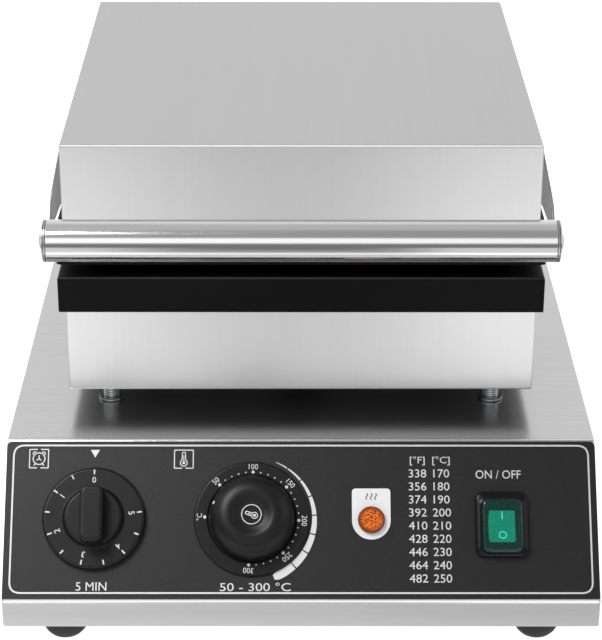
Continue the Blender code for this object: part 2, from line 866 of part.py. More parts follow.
def make_lower_cover(steel):
    """Lower head's cover, open at the top, with holes for the posts and the duct."""
    cover = add_piece("lower_cover", cover_shape(lower_low, lower_high, False), steel)
    cut(cover, "cut_lower_cover_room", cover_room(lower_low + sheet, lower_high + overrun))
    cut(cover, "cut_lower_cover_holes", sheet_holes(lower_low))


def make_upper_cover(steel, axis):
    """Lid's cover, open below, with its top left bare."""
    cover = lid_piece("upper_cover", cover_shape(upper_low, upper_high, True), steel, axis)
    room = cover_room(upper_low - overrun, upper_high - sheet)
    bmesh.ops.translate(room, verts=room.verts, vec=-axis.matrix_world.translation)
    cut(cover, "cut_upper_cover_room", room)


def mould_lines(length, pegs):
    """Grid lines across a mould: place, outer level, inside a cavity, start of a peg."""
    half = length / 2
    land = (mould_gap - closing_gap) / 2
    lines = [(-half, -edge_chamfer, False, False), (edge_chamfer - half, 0, False, False),
             (land_inset - half, 0, False, False),
             (land_inset + land_slope - half, land, False, False)]
    start = land_inset + land_slope + land_border - half
    room = (-2 * start - (cavities - 1) * cavity_rib) / cavities
    for k in range(cavities):
        low = start + k * (room + cavity_rib)
        floor_low = low + cavity_draft
        floor_long = room - 2 * cavity_draft
        gap = (floor_long - pegs * peg_size) / (pegs + 1)
        lines.append((low, land, False, False))
        lines.append((floor_low, land, True, False))
        for n in range(pegs):
            peg = floor_low + gap + n * (peg_size + gap)
            lines.append((peg, land, True, True))
            lines.append((peg + peg_size, land, True, False))
        lines.append((floor_low + floor_long, land, True, False))
        lines.append((low + room, land, False, False))
    lines += [(-place, level, False, False) for place, level, _, _ in reversed(lines[:4])]
    return lines


def add_cell(shape, corners):
    """One grid cell. Where a single corner is off the others' level it is split through it."""
    levels = [round(vert.co.z, 6) for vert in corners]
    odd = [k for k in range(4) if levels.count(levels[k]) == 1]
    if len(odd) == 1 and len(set(levels)) == 2:
        k = odd[0]
        a, b, c, d = corners[k:] + corners[:k]
        shape.faces.new((a, b, c))
        shape.faces.new((a, c, d))
    else:
        shape.faces.new(corners)


def add_peg(shape, corners):
    """A tapered peg on one cell."""
    tops = []
    centre = sum((vert.co for vert in corners), Vector()) / 4
    for vert in corners:
        inward = Vector((peg_draft if vert.co.x < centre.x else -peg_draft,
                         peg_draft if vert.co.y < centre.y else -peg_draft, peg_height))
        tops.append(shape.verts.new(vert.co + inward))
    for k in range(4):
        n = (k + 1) % 4
        shape.faces.new((corners[k], corners[n], tops[n], tops[k]))
    shape.faces.new(tops)


def mould_shape():
    """Cast mould, face up: rim, raised land and pegged cavities, with its rim face at zero."""
    shape = bmesh.new()
    columns = mould_lines(mould_width, pegs_across)
    rows = mould_lines(mould_depth, pegs_deep)
    grid = [[shape.verts.new((x, y, min(level_x, level_y) - cavity_depth * (in_x and in_y)))
             for x, level_x, in_x, _ in columns] for y, level_y, in_y, _ in rows]
    for j in range(len(rows) - 1):
        for i in range(len(columns) - 1):
            corners = [grid[j][i], grid[j][i + 1], grid[j + 1][i + 1], grid[j + 1][i]]
            if columns[i][3] and rows[j][3]:
                add_peg(shape, corners)
            else:
                add_cell(shape, corners)
    half_x = mould_width / 2
    half_y = mould_depth / 2
    feet = [shape.verts.new((i * half_x, j * half_y, -mould_thick))
            for i, j in ((-1, -1), (1, -1), (1, 1), (-1, 1))]
    shape.faces.new(list(reversed(feet)))
    edges = (grid[0], [row[-1] for row in grid], list(reversed(grid[-1])),
             [row[0] for row in reversed(grid)])
    for k, edge in enumerate(edges):
        shape.faces.new([feet[k], feet[(k + 1) % 4]] + list(reversed(edge)))
    return shape


def make_lower_mould(iron):
    """Lower mould with four long bosses for the posts and two short ones for the clamp."""
    mould = add_piece("lower_mould", mould_shape(), iron, None, (0, head_mid, lower_face_z))
    bosses = bmesh.new()
    reach = lower_low + sheet + seat_gap - lower_face_z
    root = -mould_thick + seat_gap
    for x, y in post_places():
        add_rod(bosses, boss_radius, reach, root, small_steps, at(x, y - head_mid, 0))
    add_clamp_bosses(bosses, root)
    join(mould, "join_lower_bosses", bosses)
    holes = bmesh.new()
    bore = post_radius + seat_gap
    stop = lower_low + sheet + post_bite + seat_gap - lower_face_z
    for x, y in post_places():
        add_rod(holes, bore, reach - overrun, stop, small_steps, at(x, y - head_mid, 0))
    cut(mould, "cut_lower_boss_bores", holes)


def add_clamp_bosses(shape, root):
    """Two bosses on a mould's back, as tall as the heater, that the clamp is screwed to."""
    tip = -mould_thick - seat_gap - 2 * heater_radius
    for side in (-1, 1):
        add_rod(shape, clamp_boss_radius, tip, root, small_steps,
                at(side * heater_middle, -clamp_forward, 0))


def make_upper_mould(iron, axis):
    """Upper mould, turned face down, with side lugs that the cover is screwed to."""
    turn = at(0, head_mid - hinge_y, upper_face_z - hinge_z) @ Matrix.Rotation(pi, 4, "Y")
    shape = mould_shape()
    bmesh.ops.transform(shape, matrix=turn, verts=shape.verts)
    mould = add_piece("upper_mould", shape, iron, axis)
    lugs = bmesh.new()
    root = -mould_thick + seat_gap
    edge = cover_width / 2 - sheet - seat_gap
    for side in (-1, 1):
        for setback in (lug_front, lug_rear):
            x = side * (edge - lug_thick / 2)
            y = head_front + setback - head_mid
            add_box(lugs, (x - lug_thick / 2, y - lug_depth / 2, -mould_thick - lug_height),
                    (x + lug_thick / 2, y + lug_depth / 2, root))
    add_clamp_bosses(lugs, root)
    bmesh.ops.transform(lugs, matrix=turn, verts=lugs.verts)
    join(mould, "join_upper_lugs", lugs)


def heater_route():
    """Route of a heater in its mould's axes: out and back on each side, joined at the rear."""
    level = -mould_thick - seat_gap - heater_radius
    front_end = -mould_depth / 2 + heater_margin
    rear_end = mould_depth / 2 - heater_margin
    turn = (heater_outer - heater_inner) / 2
    right = [(heater_inner, heater_tail_y, level - heater_tail)]
    tail_bend = arc((heater_tail_y - heater_end_bend, level - heater_end_bend), heater_end_bend,
                    0, pi / 2, bend_steps)
    right += [(heater_inner, y, z) for y, z in tail_bend]
    front_bend = arc((heater_middle, front_end + turn), turn, pi, 2 * pi, 2 * bend_steps)
    rear_bend = arc((heater_outer - heater_bend, rear_end - heater_bend), heater_bend,
                    0, pi / 2, bend_steps)
    right += [(x, y, level) for x, y in front_bend + rear_bend]
    left = [(-x, y, z) for x, y, z in reversed(right)]
    return right + left


def tube_piece(name, points, radius, finish, holder=None):
    """A round bar along points, with closed ends."""
    curve = bpy.data.curves.new(name, "CURVE")
    curve.dimensions = "3D"
    curve.bevel_depth = radius
    curve.bevel_resolution = tube_steps
    curve.use_fill_caps = True
    line = curve.splines.new("POLY")
    line.points.add(len(points) - 1)
    for point, place in zip(line.points, points):
        point.co = (*place, 1)
    line.use_smooth = True
    made = bpy.data.objects.new(name, curve)
    bpy.context.scene.collection.objects.link(made)
    curve.materials.append(finish)
    made.parent = holder
    return made


def pad_shape():
    """Insulating pad in its mould's axes, cut round the bosses, the heater ends and the middle."""
    top = -mould_thick - 2 * seat_gap - 2 * heater_radius - clamp_thick - pad_drop
    half_x = cover_width / 2 - pad_margin - lug_thick
    half_y = cover_depth / 2 - pad_margin
    return box((-half_x, -half_y, top - pad_thick), (half_x, half_y, top)), top


def pad_holes(top, places):
    """Cutters through a pad: its middle, the heater's ends and any bosses."""
    holes = bmesh.new()
    tail_hole = heater_radius + pad_hole_clear
    spots = [(0, 0, pad_centre_hole)]
    spots += [(side * heater_inner, heater_tail_y, tail_hole) for side in (-1, 1)]
    spots += [(x, y, boss_radius + pad_hole_clear) for x, y in places]
    for x, y, radius in spots:
        add_rod(holes, radius, top - pad_thick - overrun, top + overrun, small_steps, at(x, y, 0))
    return holes


def clamp_shape():
    """Flat bar that presses the heater to its mould."""
    face = -mould_thick - 2 * seat_gap - 2 * heater_radius
    half = heater_outer + 2 * heater_radius
    near = -clamp_forward - clamp_width / 2
    return box((-half, near, face - clamp_thick), (half, near + clamp_width, face))


def make_lower_heating(steel, fibre, iron):
    """Heater, clamp, pad and thermal cut-out under the lower mould."""
    place = at(0, head_mid, lower_face_z)
    heater = tube_piece("lower_heater", heater_route(), heater_radius, iron)
    heater.location = place.translation
    clamp = clamp_shape()
    bmesh.ops.transform(clamp, matrix=place, verts=clamp.verts)
    add_piece("lower_heater_clamp", clamp, steel)
    pad, top = pad_shape()
    bmesh.ops.transform(pad, matrix=place, verts=pad.verts)
    pad_piece = add_piece("lower_insulation", pad, fibre)
    holes = pad_holes(top, [(x, y - head_mid) for x, y in post_places()])
    bmesh.ops.transform(holes, matrix=place, verts=holes.verts)
    cut(pad_piece, "cut_lower_pad", holes)
    seat = lower_back_z - seat_gap
    cutout = rod_mesh(cutout_radius, seat - cutout_height, seat, small_steps)
    add_piece("thermal_cutout", cutout, steel, None, (-heater_middle, head_mid + cutout_setback, 0))


def make_upper_heating(steel, fibre, iron, axis):
    """Heater, clamp and pad over the upper mould."""
    turn = at(0, head_mid - hinge_y, upper_face_z - hinge_z) @ Matrix.Rotation(pi, 4, "Y")
    points = [turn @ Vector(point) for point in heater_route()]
    tube_piece("upper_heater", points, heater_radius, iron, axis)
    clamp = clamp_shape()
    bmesh.ops.transform(clamp, matrix=turn, verts=clamp.verts)
    add_piece("upper_heater_clamp", clamp, steel, axis)
    pad, top = pad_shape()
    bmesh.ops.transform(pad, matrix=turn, verts=pad.verts)
    pad_piece = add_piece("upper_insulation", pad, fibre, axis)
    holes = pad_holes(top, [])
    bmesh.ops.transform(holes, matrix=turn, verts=holes.verts)
    cut(pad_piece, "cut_upper_pad", holes)


def smooth_route(knots, steps):
    """Points of a smooth curve that passes through the given knots."""
    before = knots[:1] + knots[:-1]
    after = knots[1:] + knots[-1:]
    pulls = [(far - near) / 6 for near, far in zip(before, after)]
    points = [knots[0]]
    for k in range(len(knots) - 1):
        span = interpolate_bezier(knots[k], knots[k] + pulls[k], knots[k + 1] - pulls[k + 1],
                                  knots[k + 1], steps + 1)
        points += span[1:]
    return points


def make_capillary(finish, panel):
    """Sensing bulb under the lower mould and its fine tube back to the thermostat."""
    level = lower_back_z - seat_gap - bulb_radius
    bend = capillary_bend
    low = base_low + sheet + bend
    depth = sheet + 2 * seat_gap + thermostat_case_deep + capillary_radius
    case_back = panel.matrix_world @ Vector((thermostat_x, thermostat_s, -depth))
    inward = panel.matrix_world.to_3x3() @ Vector((0, 0, -bend))
    half_way = (case_back.y + head_mid) / 2
    knots = [case_back + inward / bend * seat_gap, case_back + inward,
             Vector((thermostat_x * capillary_side_share, half_way, low)),
             Vector((0, head_mid - bend, low + bend)),
             Vector((0, head_mid, base_top - bend)), Vector((0, head_mid, lower_low))]
    knots += [Vector((0, y, z)) for y, z in arc((head_mid + bend, level - bend), bend, pi, pi / 2, 2)]
    knots.append(Vector((0, head_mid + 2 * bend, level)))
    tube_piece("capillary_tube", smooth_route(knots, bend_steps - 1), capillary_radius, finish)
    spin = at(0, head_mid + 2 * bend + seat_gap, level) @ Matrix.Rotation(-pi / 2, 4, "X")
    profile = [(0, 0), (bulb_neck_radius, 0), (bulb_radius, 2 * bulb_radius),
               (bulb_radius, bulb_length - bulb_radius), (bulb_neck_radius, bulb_length),
               (0, bulb_length)]
    add_piece("sensing_bulb", turned(profile, small_steps, spin), finish)


def arm_stations():
    """Stations along a handle arm: back from the tube, low edge, high edge, inward bend."""
    rows = []
    for k in range(arm_steps + 1):
        angle = pi - k / arm_steps * pi * arm_round_share
        high = tube_radius * sin(angle)
        rows.append((tube_radius * cos(angle), -high, high, 0.0))
    for back_share, low_share, high_share in zip(arm_back_shares, arm_low_shares, arm_high_shares):
        bend = (back_share - arm_bend_share) / (arm_flat_share - arm_bend_share)
        rows.append((arm_length * back_share, tube_radius * low_share, tube_radius * high_share,
                     (arm_stand_off - seat_gap) * min(1.0, max(0.0, bend))))
    return rows


def arm_shape(side):
    """A handle arm lofted through its stations on one side of the lid."""
    shape = bmesh.new()
    rings = []
    for y, low, high, inward in arm_stations():
        face = side * (arm_face - inward)
        outer = face + side * arm_thick
        rings.append([shape.verts.new((x, tube_y + y, tube_height + z))
                      for x, z in ((face, low), (outer, low), (outer, high), (face, high))])
    for near, far in zip(rings, rings[1:]):
        for k in range(4):
            n = (k + 1) % 4
            shape.faces.new((near[k], near[n], far[n], far[k]))
    shape.faces.new(list(reversed(rings[0])))
    shape.faces.new(rings[-1])
    bmesh.ops.remove_doubles(shape, verts=shape.verts, dist=merge_distance)
    bmesh.ops.recalc_face_normals(shape, faces=shape.faces)
    return shape


def cross_outline(reach, half):
    """A plus sign, anticlockwise."""
    return [(-half, -reach), (half, -reach), (half, -half), (reach, -half), (reach, half), (half, half),
            (half, reach), (-half, reach), (-half, half), (-reach, half), (-reach, -half), (-half, -half)]


def make_handle(steel, axis):
    """Tube handle between two arms, with a domed cap and a screw at each end."""
    half = arm_face - seat_gap
    centre = at(0, tube_y, tube_height) @ Matrix.Rotation(pi / 2, 4, "Y")
    bore = tube_radius - tube_wall
    lid_piece("handle_tube",
              turned([(bore, -half), (tube_radius, -half), (tube_radius, half), (bore, half)],
                     fine_steps, centre), steel, axis)
    for name, side in (("left", -1), ("right", 1)):
        arm = lid_piece(f"handle_arm_{name}", arm_shape(side), steel, axis)
        out = at(side * (arm_face + arm_thick + seat_gap), tube_y, tube_height)
        out = out @ Matrix.Rotation(side * pi / 2, 4, "Y")
        inner = at(side * arm_face, tube_y, tube_height) @ Matrix.Rotation(side * pi / 2, 4, "Y")
        hole = rod_mesh(screw_hole, -overrun, arm_thick + overrun, small_steps, inner)
        bmesh.ops.translate(hole, verts=hole.verts, vec=-axis.matrix_world.translation)
        cut(arm, f"cut_arm_hole_{name}", hole)
        cap = [(screw_hole, 0), (tube_radius, 0), (tube_radius, cap_rim)]
        cap += [(screw_hole + (tube_radius - screw_hole) * run, cap_rim + cap_dome * rise)
                for run, rise in quarter(dome_steps)]
        lid_piece(f"handle_cap_{name}", turned(cap, round_steps, out), steel, axis)
        seat = cap_rim + cap_dome + seat_gap
        screw = [(0, -screw_long), (screw_shank, -screw_long), (screw_shank, seat), (screw_head, seat)]
        screw += [(screw_head * run, seat + screw_dome * rise) for run, rise in quarter(dome_steps)]
        made = lid_piece(f"handle_screw_{name}", turned(screw, small_steps, out), steel, axis)
        top = seat + screw_dome
        cross = prism(cross_outline(screw_slot_long / 2, screw_slot_wide / 2),
                      top - screw_slot_deep, top + overrun, out)
        bmesh.ops.translate(cross, verts=cross.verts, vec=-axis.matrix_world.translation)
        cut(made, f"cut_screw_cross_{name}", cross)


def bracket_outline():
    """Side view of a hinge bracket about the axis: foot, neck, eye and the horn that stops the lid."""
    face = head_back + seat_gap - hinge_y
    foot_low = lower_low + ear_foot_inset - hinge_z
    foot_high = lower_high - ear_foot_inset - hinge_z
    neck = -ear_radius
    stop = -hinge_back + mould_overhang
    points = [(face, foot_low), (horn_reach, -horn_drop),
              (horn_reach, horn_height(horn_reach, stop)), (horn_start, horn_height(horn_start, stop))]
    points += arc((0, 0), ear_radius, bracket_eye_start, pi, arm_steps)
    points += [(neck, foot_high), (face, foot_high)]
    return points


def horn_height(y, stop):
    """Height of the open lid's back plane over a point, less the swing clearance."""
    slope = cos(open_angle) / sin(open_angle)
    return -stop * sin(open_angle) + (y - stop * cos(open_angle)) * slope - swing_gap


def ear_outline():
    """Side view of a lid ear about the axis: eye, back edge and the foot on the lid."""
    face = head_back + seat_gap - hinge_y
    foot_low = upper_low + ear_foot_inset - hinge_z
    foot_high = upper_high - ear_foot_inset - hinge_z
    points = arc((0, 0), ear_radius, pi, 2 * pi + ear_eye_end, arm_steps)
    points += [(face + ear_foot_thick, foot_high), (face, foot_high), (face, foot_low),
               (-ear_radius, foot_low)]
    return points


def make_hinge(steel, axis):
    """Two brackets on the lower head, two ears on the lid, one rod through them and its nuts."""
    centre = at(0, hinge_y, hinge_z)
    bore = rod_radius + seat_gap
    face = head_back + seat_gap - hinge_y
    for name, side in (("left", -1), ("right", 1)):
        near = side * ear_side
        far = side * (ear_side + ear_thick)
        span = sorted((near, far))
        shape = prism(bracket_outline(), span[0], span[1], centre @ side_on)
        bracket = add_piece(f"hinge_bracket_{name}", shape, steel)
        low = lower_low + ear_foot_inset - hinge_z
        high = lower_high - ear_foot_inset - hinge_z
        foot = sorted((far, side * (ear_side + ear_foot_width)))
        foot = (foot[0] - (overrun if side > 0 else 0), foot[1] + (overrun if side < 0 else 0))
        join(bracket, f"join_bracket_foot_{name}",
             box((foot[0], hinge_y + face, hinge_z + low),
                 (foot[1], hinge_y + face + ear_foot_thick, hinge_z + high)))
        eye = at(0, hinge_y, hinge_z) @ Matrix.Rotation(pi / 2, 4, "Y")
        reach = sorted((near - side * overrun, far + side * overrun))
        cut(bracket, f"cut_bracket_eye_{name}", rod_mesh(bore, reach[0], reach[1], small_steps, eye))
        near = side * (ear_side - swing_gap)
        far = side * (ear_side - swing_gap - ear_thick)
        span = sorted((near, far))
        ear = lid_piece(f"lid_ear_{name}",
                        prism(ear_outline(), span[0], span[1], centre @ side_on), steel, axis)
        low = upper_low + ear_foot_inset
        high = upper_high - ear_foot_inset
        foot = sorted((far + side * overrun, side * (ear_side - ear_foot_width)))
        foot_box = box((foot[0], hinge_y + face, low), (foot[1], hinge_y + face + ear_foot_thick, high))
        bmesh.ops.translate(foot_box, verts=foot_box.verts, vec=-axis.matrix_world.translation)
        join(ear, f"join_ear_foot_{name}", foot_box)
        reach = sorted((near + side * overrun, far - side * overrun))
        eye_local = Matrix.Rotation(pi / 2, 4, "Y")
        cut(ear, f"cut_ear_eye_{name}", rod_mesh(bore, reach[0], reach[1], small_steps, eye_local))
        nut_low = ear_side + ear_thick + seat_gap
        nut = hex_ring(rod_nut_flats, bore, nut_low, nut_low + rod_nut_thick)
        bmesh.ops.transform(nut, verts=nut.verts,
                            matrix=at(0, hinge_y, hinge_z) @ Matrix.Rotation(side * pi / 2, 4, "Y"))
        add_piece(f"hinge_nut_{name}", nut, steel)
    end = ear_side + ear_thick + rod_end
    add_piece("hinge_rod", rod_mesh(rod_radius, -end, end, small_steps,
                                    centre @ Matrix.Rotation(pi / 2, 4, "Y")), steel)


def build():
    """Clear the scene and build every piece."""
    for old in list(bpy.data.objects):
        bpy.data.objects.remove(old, do_unlink=True)
    steel = material("brushed_steel", (0.62, 0.62, 0.62), 0.32, 1.0)
    bright = material("polished_steel", (0.74, 0.74, 0.74), 0.18, 1.0)
    zinc = material("zinc_plate", (0.48, 0.49, 0.50), 0.42, 1.0)
    iron = material("black_coated_iron", (0.022, 0.022, 0.023), 0.42, 0.0)
    dark = material("black_plastic", (0.03, 0.03, 0.032), 0.45, 0.0)
    print_sheet = material("panel_print", (0.055, 0.055, 0.057), 0.5, 0.0)
    rubber = material("black_rubber", (0.02, 0.02, 0.02), 0.7, 0.0)
    white = material("white_label", (0.85, 0.85, 0.85), 0.4, 0.0)
    amber = material("amber_lens", (0.9, 0.25, 0.03), 0.2, 0.0)
    green = material("green_plastic", (0.02, 0.35, 0.22), 0.25, 0.0)
    brass = material("brass", (0.7, 0.5, 0.2), 0.3, 1.0)
    fibre = material("white_fibre", (0.8, 0.78, 0.73), 0.9, 0.0)

    tilt = atan2(panel_height, panel_depth)
    panel = add_empty("panel_plane", at(0, front, lip_top) @ Matrix.Rotation(tilt, 4, "X"))
    bpy.context.view_layer.update()
    timer_axis = add_empty("timer_axis", at(timer_x, timer_s, 0), panel)
    thermostat_axis = add_empty("thermostat_axis", at(thermostat_x, thermostat_s, 0), panel)
    lamp_axis = add_empty("lamp_axis", at(lamp_x, lamp_s, 0), panel)
    switch_axis = add_empty("switch_axis", at(switch_x, switch_s, 0), panel)
    rocker_axis = add_empty("rocker_axis", at(0, 0, 0), switch_axis)
    lid_axis = add_empty("lid_axis", at(0, hinge_y, hinge_z))
    bpy.context.view_layer.update()

    make_base_shell(steel, panel)
    make_base_floor(zinc)
    make_feet(rubber)
    make_overlay(print_sheet, panel)
    make_timer(dark, zinc, brass, timer_axis)
    make_thermostat(dark, zinc, thermostat_axis)
    make_lamp(amber, white, dark, lamp_axis)
    make_switch(dark, green, switch_axis, rocker_axis)
    make_terminal_block(white)
    make_gland(dark)
    make_posts(zinc)
    make_duct(zinc)
    make_lower_cover(bright)
    make_lower_mould(iron)
    make_lower_heating(zinc, fibre, iron)
    make_capillary(zinc, panel)
    make_upper_cover(bright, lid_axis)
    make_upper_mould(iron, lid_axis)
    make_upper_heating(zinc, fibre, iron, lid_axis)
    make_handle(bright, lid_axis)
    make_hinge(zinc, lid_axis)


build()
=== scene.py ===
"""Looks of a countertop waffle iron for four deep-pocket waffles.

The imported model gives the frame, in metres. Each operator below dresses one piece or a group of
like pieces where the model's own solids lie, and main() runs them in order.
"""
from math import atan2, cos, pi, radians, sin

import bmesh
import bpy
import numpy as np
from bpy.props import FloatProperty, FloatVectorProperty, PointerProperty
from mathutils import Matrix, Vector


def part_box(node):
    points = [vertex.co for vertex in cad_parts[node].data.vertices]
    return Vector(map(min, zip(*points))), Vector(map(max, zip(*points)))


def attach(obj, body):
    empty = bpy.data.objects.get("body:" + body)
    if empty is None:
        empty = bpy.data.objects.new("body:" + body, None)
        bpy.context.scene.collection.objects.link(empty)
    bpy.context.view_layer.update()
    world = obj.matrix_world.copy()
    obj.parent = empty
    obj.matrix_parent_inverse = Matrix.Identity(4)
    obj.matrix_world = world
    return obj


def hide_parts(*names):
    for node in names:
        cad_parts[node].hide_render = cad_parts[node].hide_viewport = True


bl_info = {
    "name": "Waffle iron looks",
    "version": (1, 0, 0),
    "blender": (4, 5, 0),
    "location": "3D View > Sidebar > Waffle iron",
    "description": "Dresses the packed waffle iron with finished surfaces, prints and a stage",
    "category": "Object",
}

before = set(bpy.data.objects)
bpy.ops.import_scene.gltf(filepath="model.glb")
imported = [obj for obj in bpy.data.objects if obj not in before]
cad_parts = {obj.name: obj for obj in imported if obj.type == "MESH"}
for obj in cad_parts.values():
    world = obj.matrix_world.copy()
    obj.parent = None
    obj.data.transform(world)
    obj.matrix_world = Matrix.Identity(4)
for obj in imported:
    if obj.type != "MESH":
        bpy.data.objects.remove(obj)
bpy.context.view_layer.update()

# Sizes of the sloping panel, measured from the housing's own box
lip_height = 0.0155
panel_depth = 0.0575
panel_height = 0.0675
overlay_face = 0.0008
shell_low, shell_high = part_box("base_shell")
panel_tilt = atan2(panel_height, panel_depth)
panel_place = (Matrix.Translation((0, shell_low.y, shell_low.z + lip_height))
               @ Matrix.Rotation(panel_tilt, 4, "X"))

# Controls on the panel: across, and up the slope
timer_spot = (-0.1115, 0.0445)
thermostat_spot = (-0.0265, 0.0445)
lamp_spot = (0.0378, 0.0437)
switch_spot = (0.1080, 0.0398)

# Places and lengths shared by several pieces
weld_distance = 0.0000005
solid_weld = 0.000002
flat_enough = radians(0.5)
ink_lift = 0.00001
symbol_line = 0.00055
symbol_half = 0.0051
symbol_gap = 0.0009
mould_edge = 0.1806
bezel_top = 0.0030
skirt_top = 0.0052
half_minute = radians(27.7)
knob_turn = radians(161)
cover_rise = 0.0015
rocker_axis_height = 0.0011
rocker_tilt = radians(8)
rocker_side_share = 0.98
quarters = [f"{row}_{side}" for row in ("front", "rear") for side in ("left", "right")]


# ----------------------------------------
# Shapes


class Shape:
    """Points and faces of a piece, before it becomes a mesh."""

    def __init__(self, points, faces):
        self.points = np.asarray(points, float).reshape(-1, 3)
        self.faces = faces

    def __add__(self, other):
        shift = len(self.points)
        faces = self.faces + [block + shift for block in other.faces]
        return Shape(np.vstack((self.points, other.points)), faces)

    def placed(self, matrix):
        """Each point times a matrix."""
        turn = np.array(matrix)
        return Shape(self.points @ turn[:3, :3].T + turn[:3, 3], self.faces)

    def volume(self):
        """Sum over each face's fan of triangles of a . (b x c) / 6."""
        total = 0.0
        for block in self.faces:
            corners = self.points[block]
            first = corners[:, :1]
            sides = np.cross(corners[:, 1:-1], corners[:, 2:])
            total += float((first * sides).sum()) / 6
        return total

    def outward(self):
        """Turn every face round where the shape is inside out."""
        if self.volume() < 0:
            self.faces = [block[:, ::-1] for block in self.faces]
        return self


def joined(shapes):
    """Several shapes as one."""
    whole = shapes[0]
    for shape in shapes[1:]:
        whole = whole + shape
    return whole


def skin(rings, wrap=False):
    """Closed surface whose point (i, j) is point j of ring i, its two ends capped or joined."""
    rings = np.asarray(rings, float)
    index = np.arange(rings.shape[0] * rings.shape[1]).reshape(rings.shape[:2])
    after = np.roll(index, -1, axis=1)
    lower, upper = index, np.roll(index, -1, axis=0)
    lower_after, upper_after = after, np.roll(after, -1, axis=0)
    if not wrap:
        lower, upper, lower_after, upper_after = (
            part[:-1] for part in (lower, upper, lower_after, upper_after))
    faces = [np.stack((lower, lower_after, upper_after, upper), axis=-1).reshape(-1, 4)]
    if not wrap:
        faces += [index[:1, ::-1], index[-1:]]
    return Shape(rings, faces).outward()


def turned(profile, steps=96, wrap=False):
    """Surface of revolution: point (r, z) of a profile goes to (r cos u, r sin u, z)."""
    profile = np.asarray(profile, float)
    angle = np.linspace(0, 2 * pi, steps, endpoint=False)
    radius = profile[:, :1]
    height = np.repeat(profile[:, 1:], steps, axis=1)
    return skin(np.stack((radius * np.cos(angle), radius * np.sin(angle), height), axis=-1), wrap)


def eased(points, reach, steps=5, closed=False):
    """Each corner c between a and b becomes the parabola (1-t)^2 a' + 2t(1-t) c + t^2 b'.

    The points a' and b' lie at the reach from c, or at under half of the shorter side.
    """
    points = np.asarray(points, float)
    before = np.roll(points, 1, axis=0) - points
    after = np.roll(points, -1, axis=0) - points
    length = np.stack((np.linalg.norm(before, axis=1), np.linalg.norm(after, axis=1)))
    length = np.maximum(length, 1e-12)
    limit = np.minimum(np.broadcast_to(reach, len(points)), 0.49 * length.min(axis=0))
    if not closed:
        limit = limit.copy()
        limit[[0, -1]] = 0
    start = points + before / length[0][:, None] * limit[:, None]
    end = points + after / length[1][:, None] * limit[:, None]
    t = np.linspace(0, 1, steps + 1)[None, :, None]
    curve = ((1 - t) ** 2 * start[:, None] + 2 * t * (1 - t) * points[:, None]
             + t ** 2 * end[:, None])
    if closed:
        return curve.reshape(-1, points.shape[1])
    return np.vstack((points[:1], curve[1:-1].reshape(-1, points.shape[1]), points[-1:]))


def rectangles(levels, steps=8):
    """Rounded rectangles, one for each (half width, half height, corner, middle, z).

    A corner's points are its centre plus r (cos u, sin u) over a quarter turn.
    """
    half_x, half_y, radius, middle, z = (part[:, None] for part in np.asarray(levels, float).T)
    quarter = np.linspace(0, pi / 2, steps + 1)
    angle = np.concatenate([quarter + k * pi / 2 for k in range(4)])
    sign_x = np.repeat((1, -1, -1, 1), steps + 1)
    sign_y = np.repeat((1, 1, -1, -1), steps + 1)
    x = sign_x * (half_x - radius) + radius * np.cos(angle)
    y = sign_y * (half_y - radius) + radius * np.sin(angle) + middle
    return np.stack((x, y, np.repeat(z, len(angle), axis=1)), axis=-1)


def slab(half_x, half_y, corner, profile, steps=8):
    """A rounded block whose side follows a profile of (inset, height)."""
    return skin(rectangles([(half_x - inset, half_y - inset, corner - inset, 0, z)
                            for inset, z in profile], steps))


def prism(outline, low, high):
    """An outline at two heights, capped."""
    outline = np.asarray(outline, float)
    rings = [np.column_stack((outline, np.full(len(outline), z))) for z in (low, high)]
    return skin(rings)


def stroke(path, width, low, high, closed=False):
    """A flat bar along a path: at each point the path's normal times half the width, each way."""
    path = np.asarray(path, float)
    if closed:
        along = np.roll(path, -1, axis=0) - np.roll(path, 1, axis=0)
    else:
        along = np.gradient(path, axis=0)
    along = along / np.maximum(np.linalg.norm(along, axis=1, keepdims=True), 1e-12)
    width = np.broadcast_to(width, len(path))[:, None]
    across = np.column_stack((along[:, 1], -along[:, 0])) * width / 2
    section = [np.column_stack((path + side * across, np.full(len(path), z)))
               for side, z in ((-1, low), (1, low), (1, high), (-1, high))]
    return skin(np.stack(section, axis=1), closed)


def circle_path(radius, steps=48, y=0.0):
    """Points (r cos u, y + r sin u) over a whole turn."""
    angle = np.linspace(0, 2 * pi, steps, endpoint=False)
    return np.column_stack((radius * np.cos(angle), y + radius * np.sin(angle)))


def arc_path(radius, start, end, steps, y=0.0):
    """Points (r cos u, y + r sin u) from one angle to another."""
    angle = np.linspace(start, end, steps)
    return np.column_stack((radius * np.cos(angle), y + radius * np.sin(angle)))


def rectangle_path(low_x, low_y, high_x, high_y, corner):
    """A rounded rectangle, anticlockwise."""
    return eased([(low_x, low_y), (high_x, low_y), (high_x, high_y), (low_x, high_y)],
                 corner, 8, True)


def values_of(items, name, kind=int, width=1):
    """One value of all of a mesh's points, corners or faces, as an array."""
    values = np.empty(len(items) * width, kind)
    items.foreach_get(name, values)
    return values


def mesh_shape(mesh):
    """Points and faces of a mesh, its faces gathered by their number of corners."""
    points = values_of(mesh.vertices, "co", float, 3)
    corners = values_of(mesh.loops, "vertex_index")
    starts = values_of(mesh.polygons, "loop_start")
    counts = values_of(mesh.polygons, "loop_total")
    faces = [corners[starts[counts == k][:, None] + np.arange(k)] for k in np.unique(counts)]
    return Shape(points, faces)


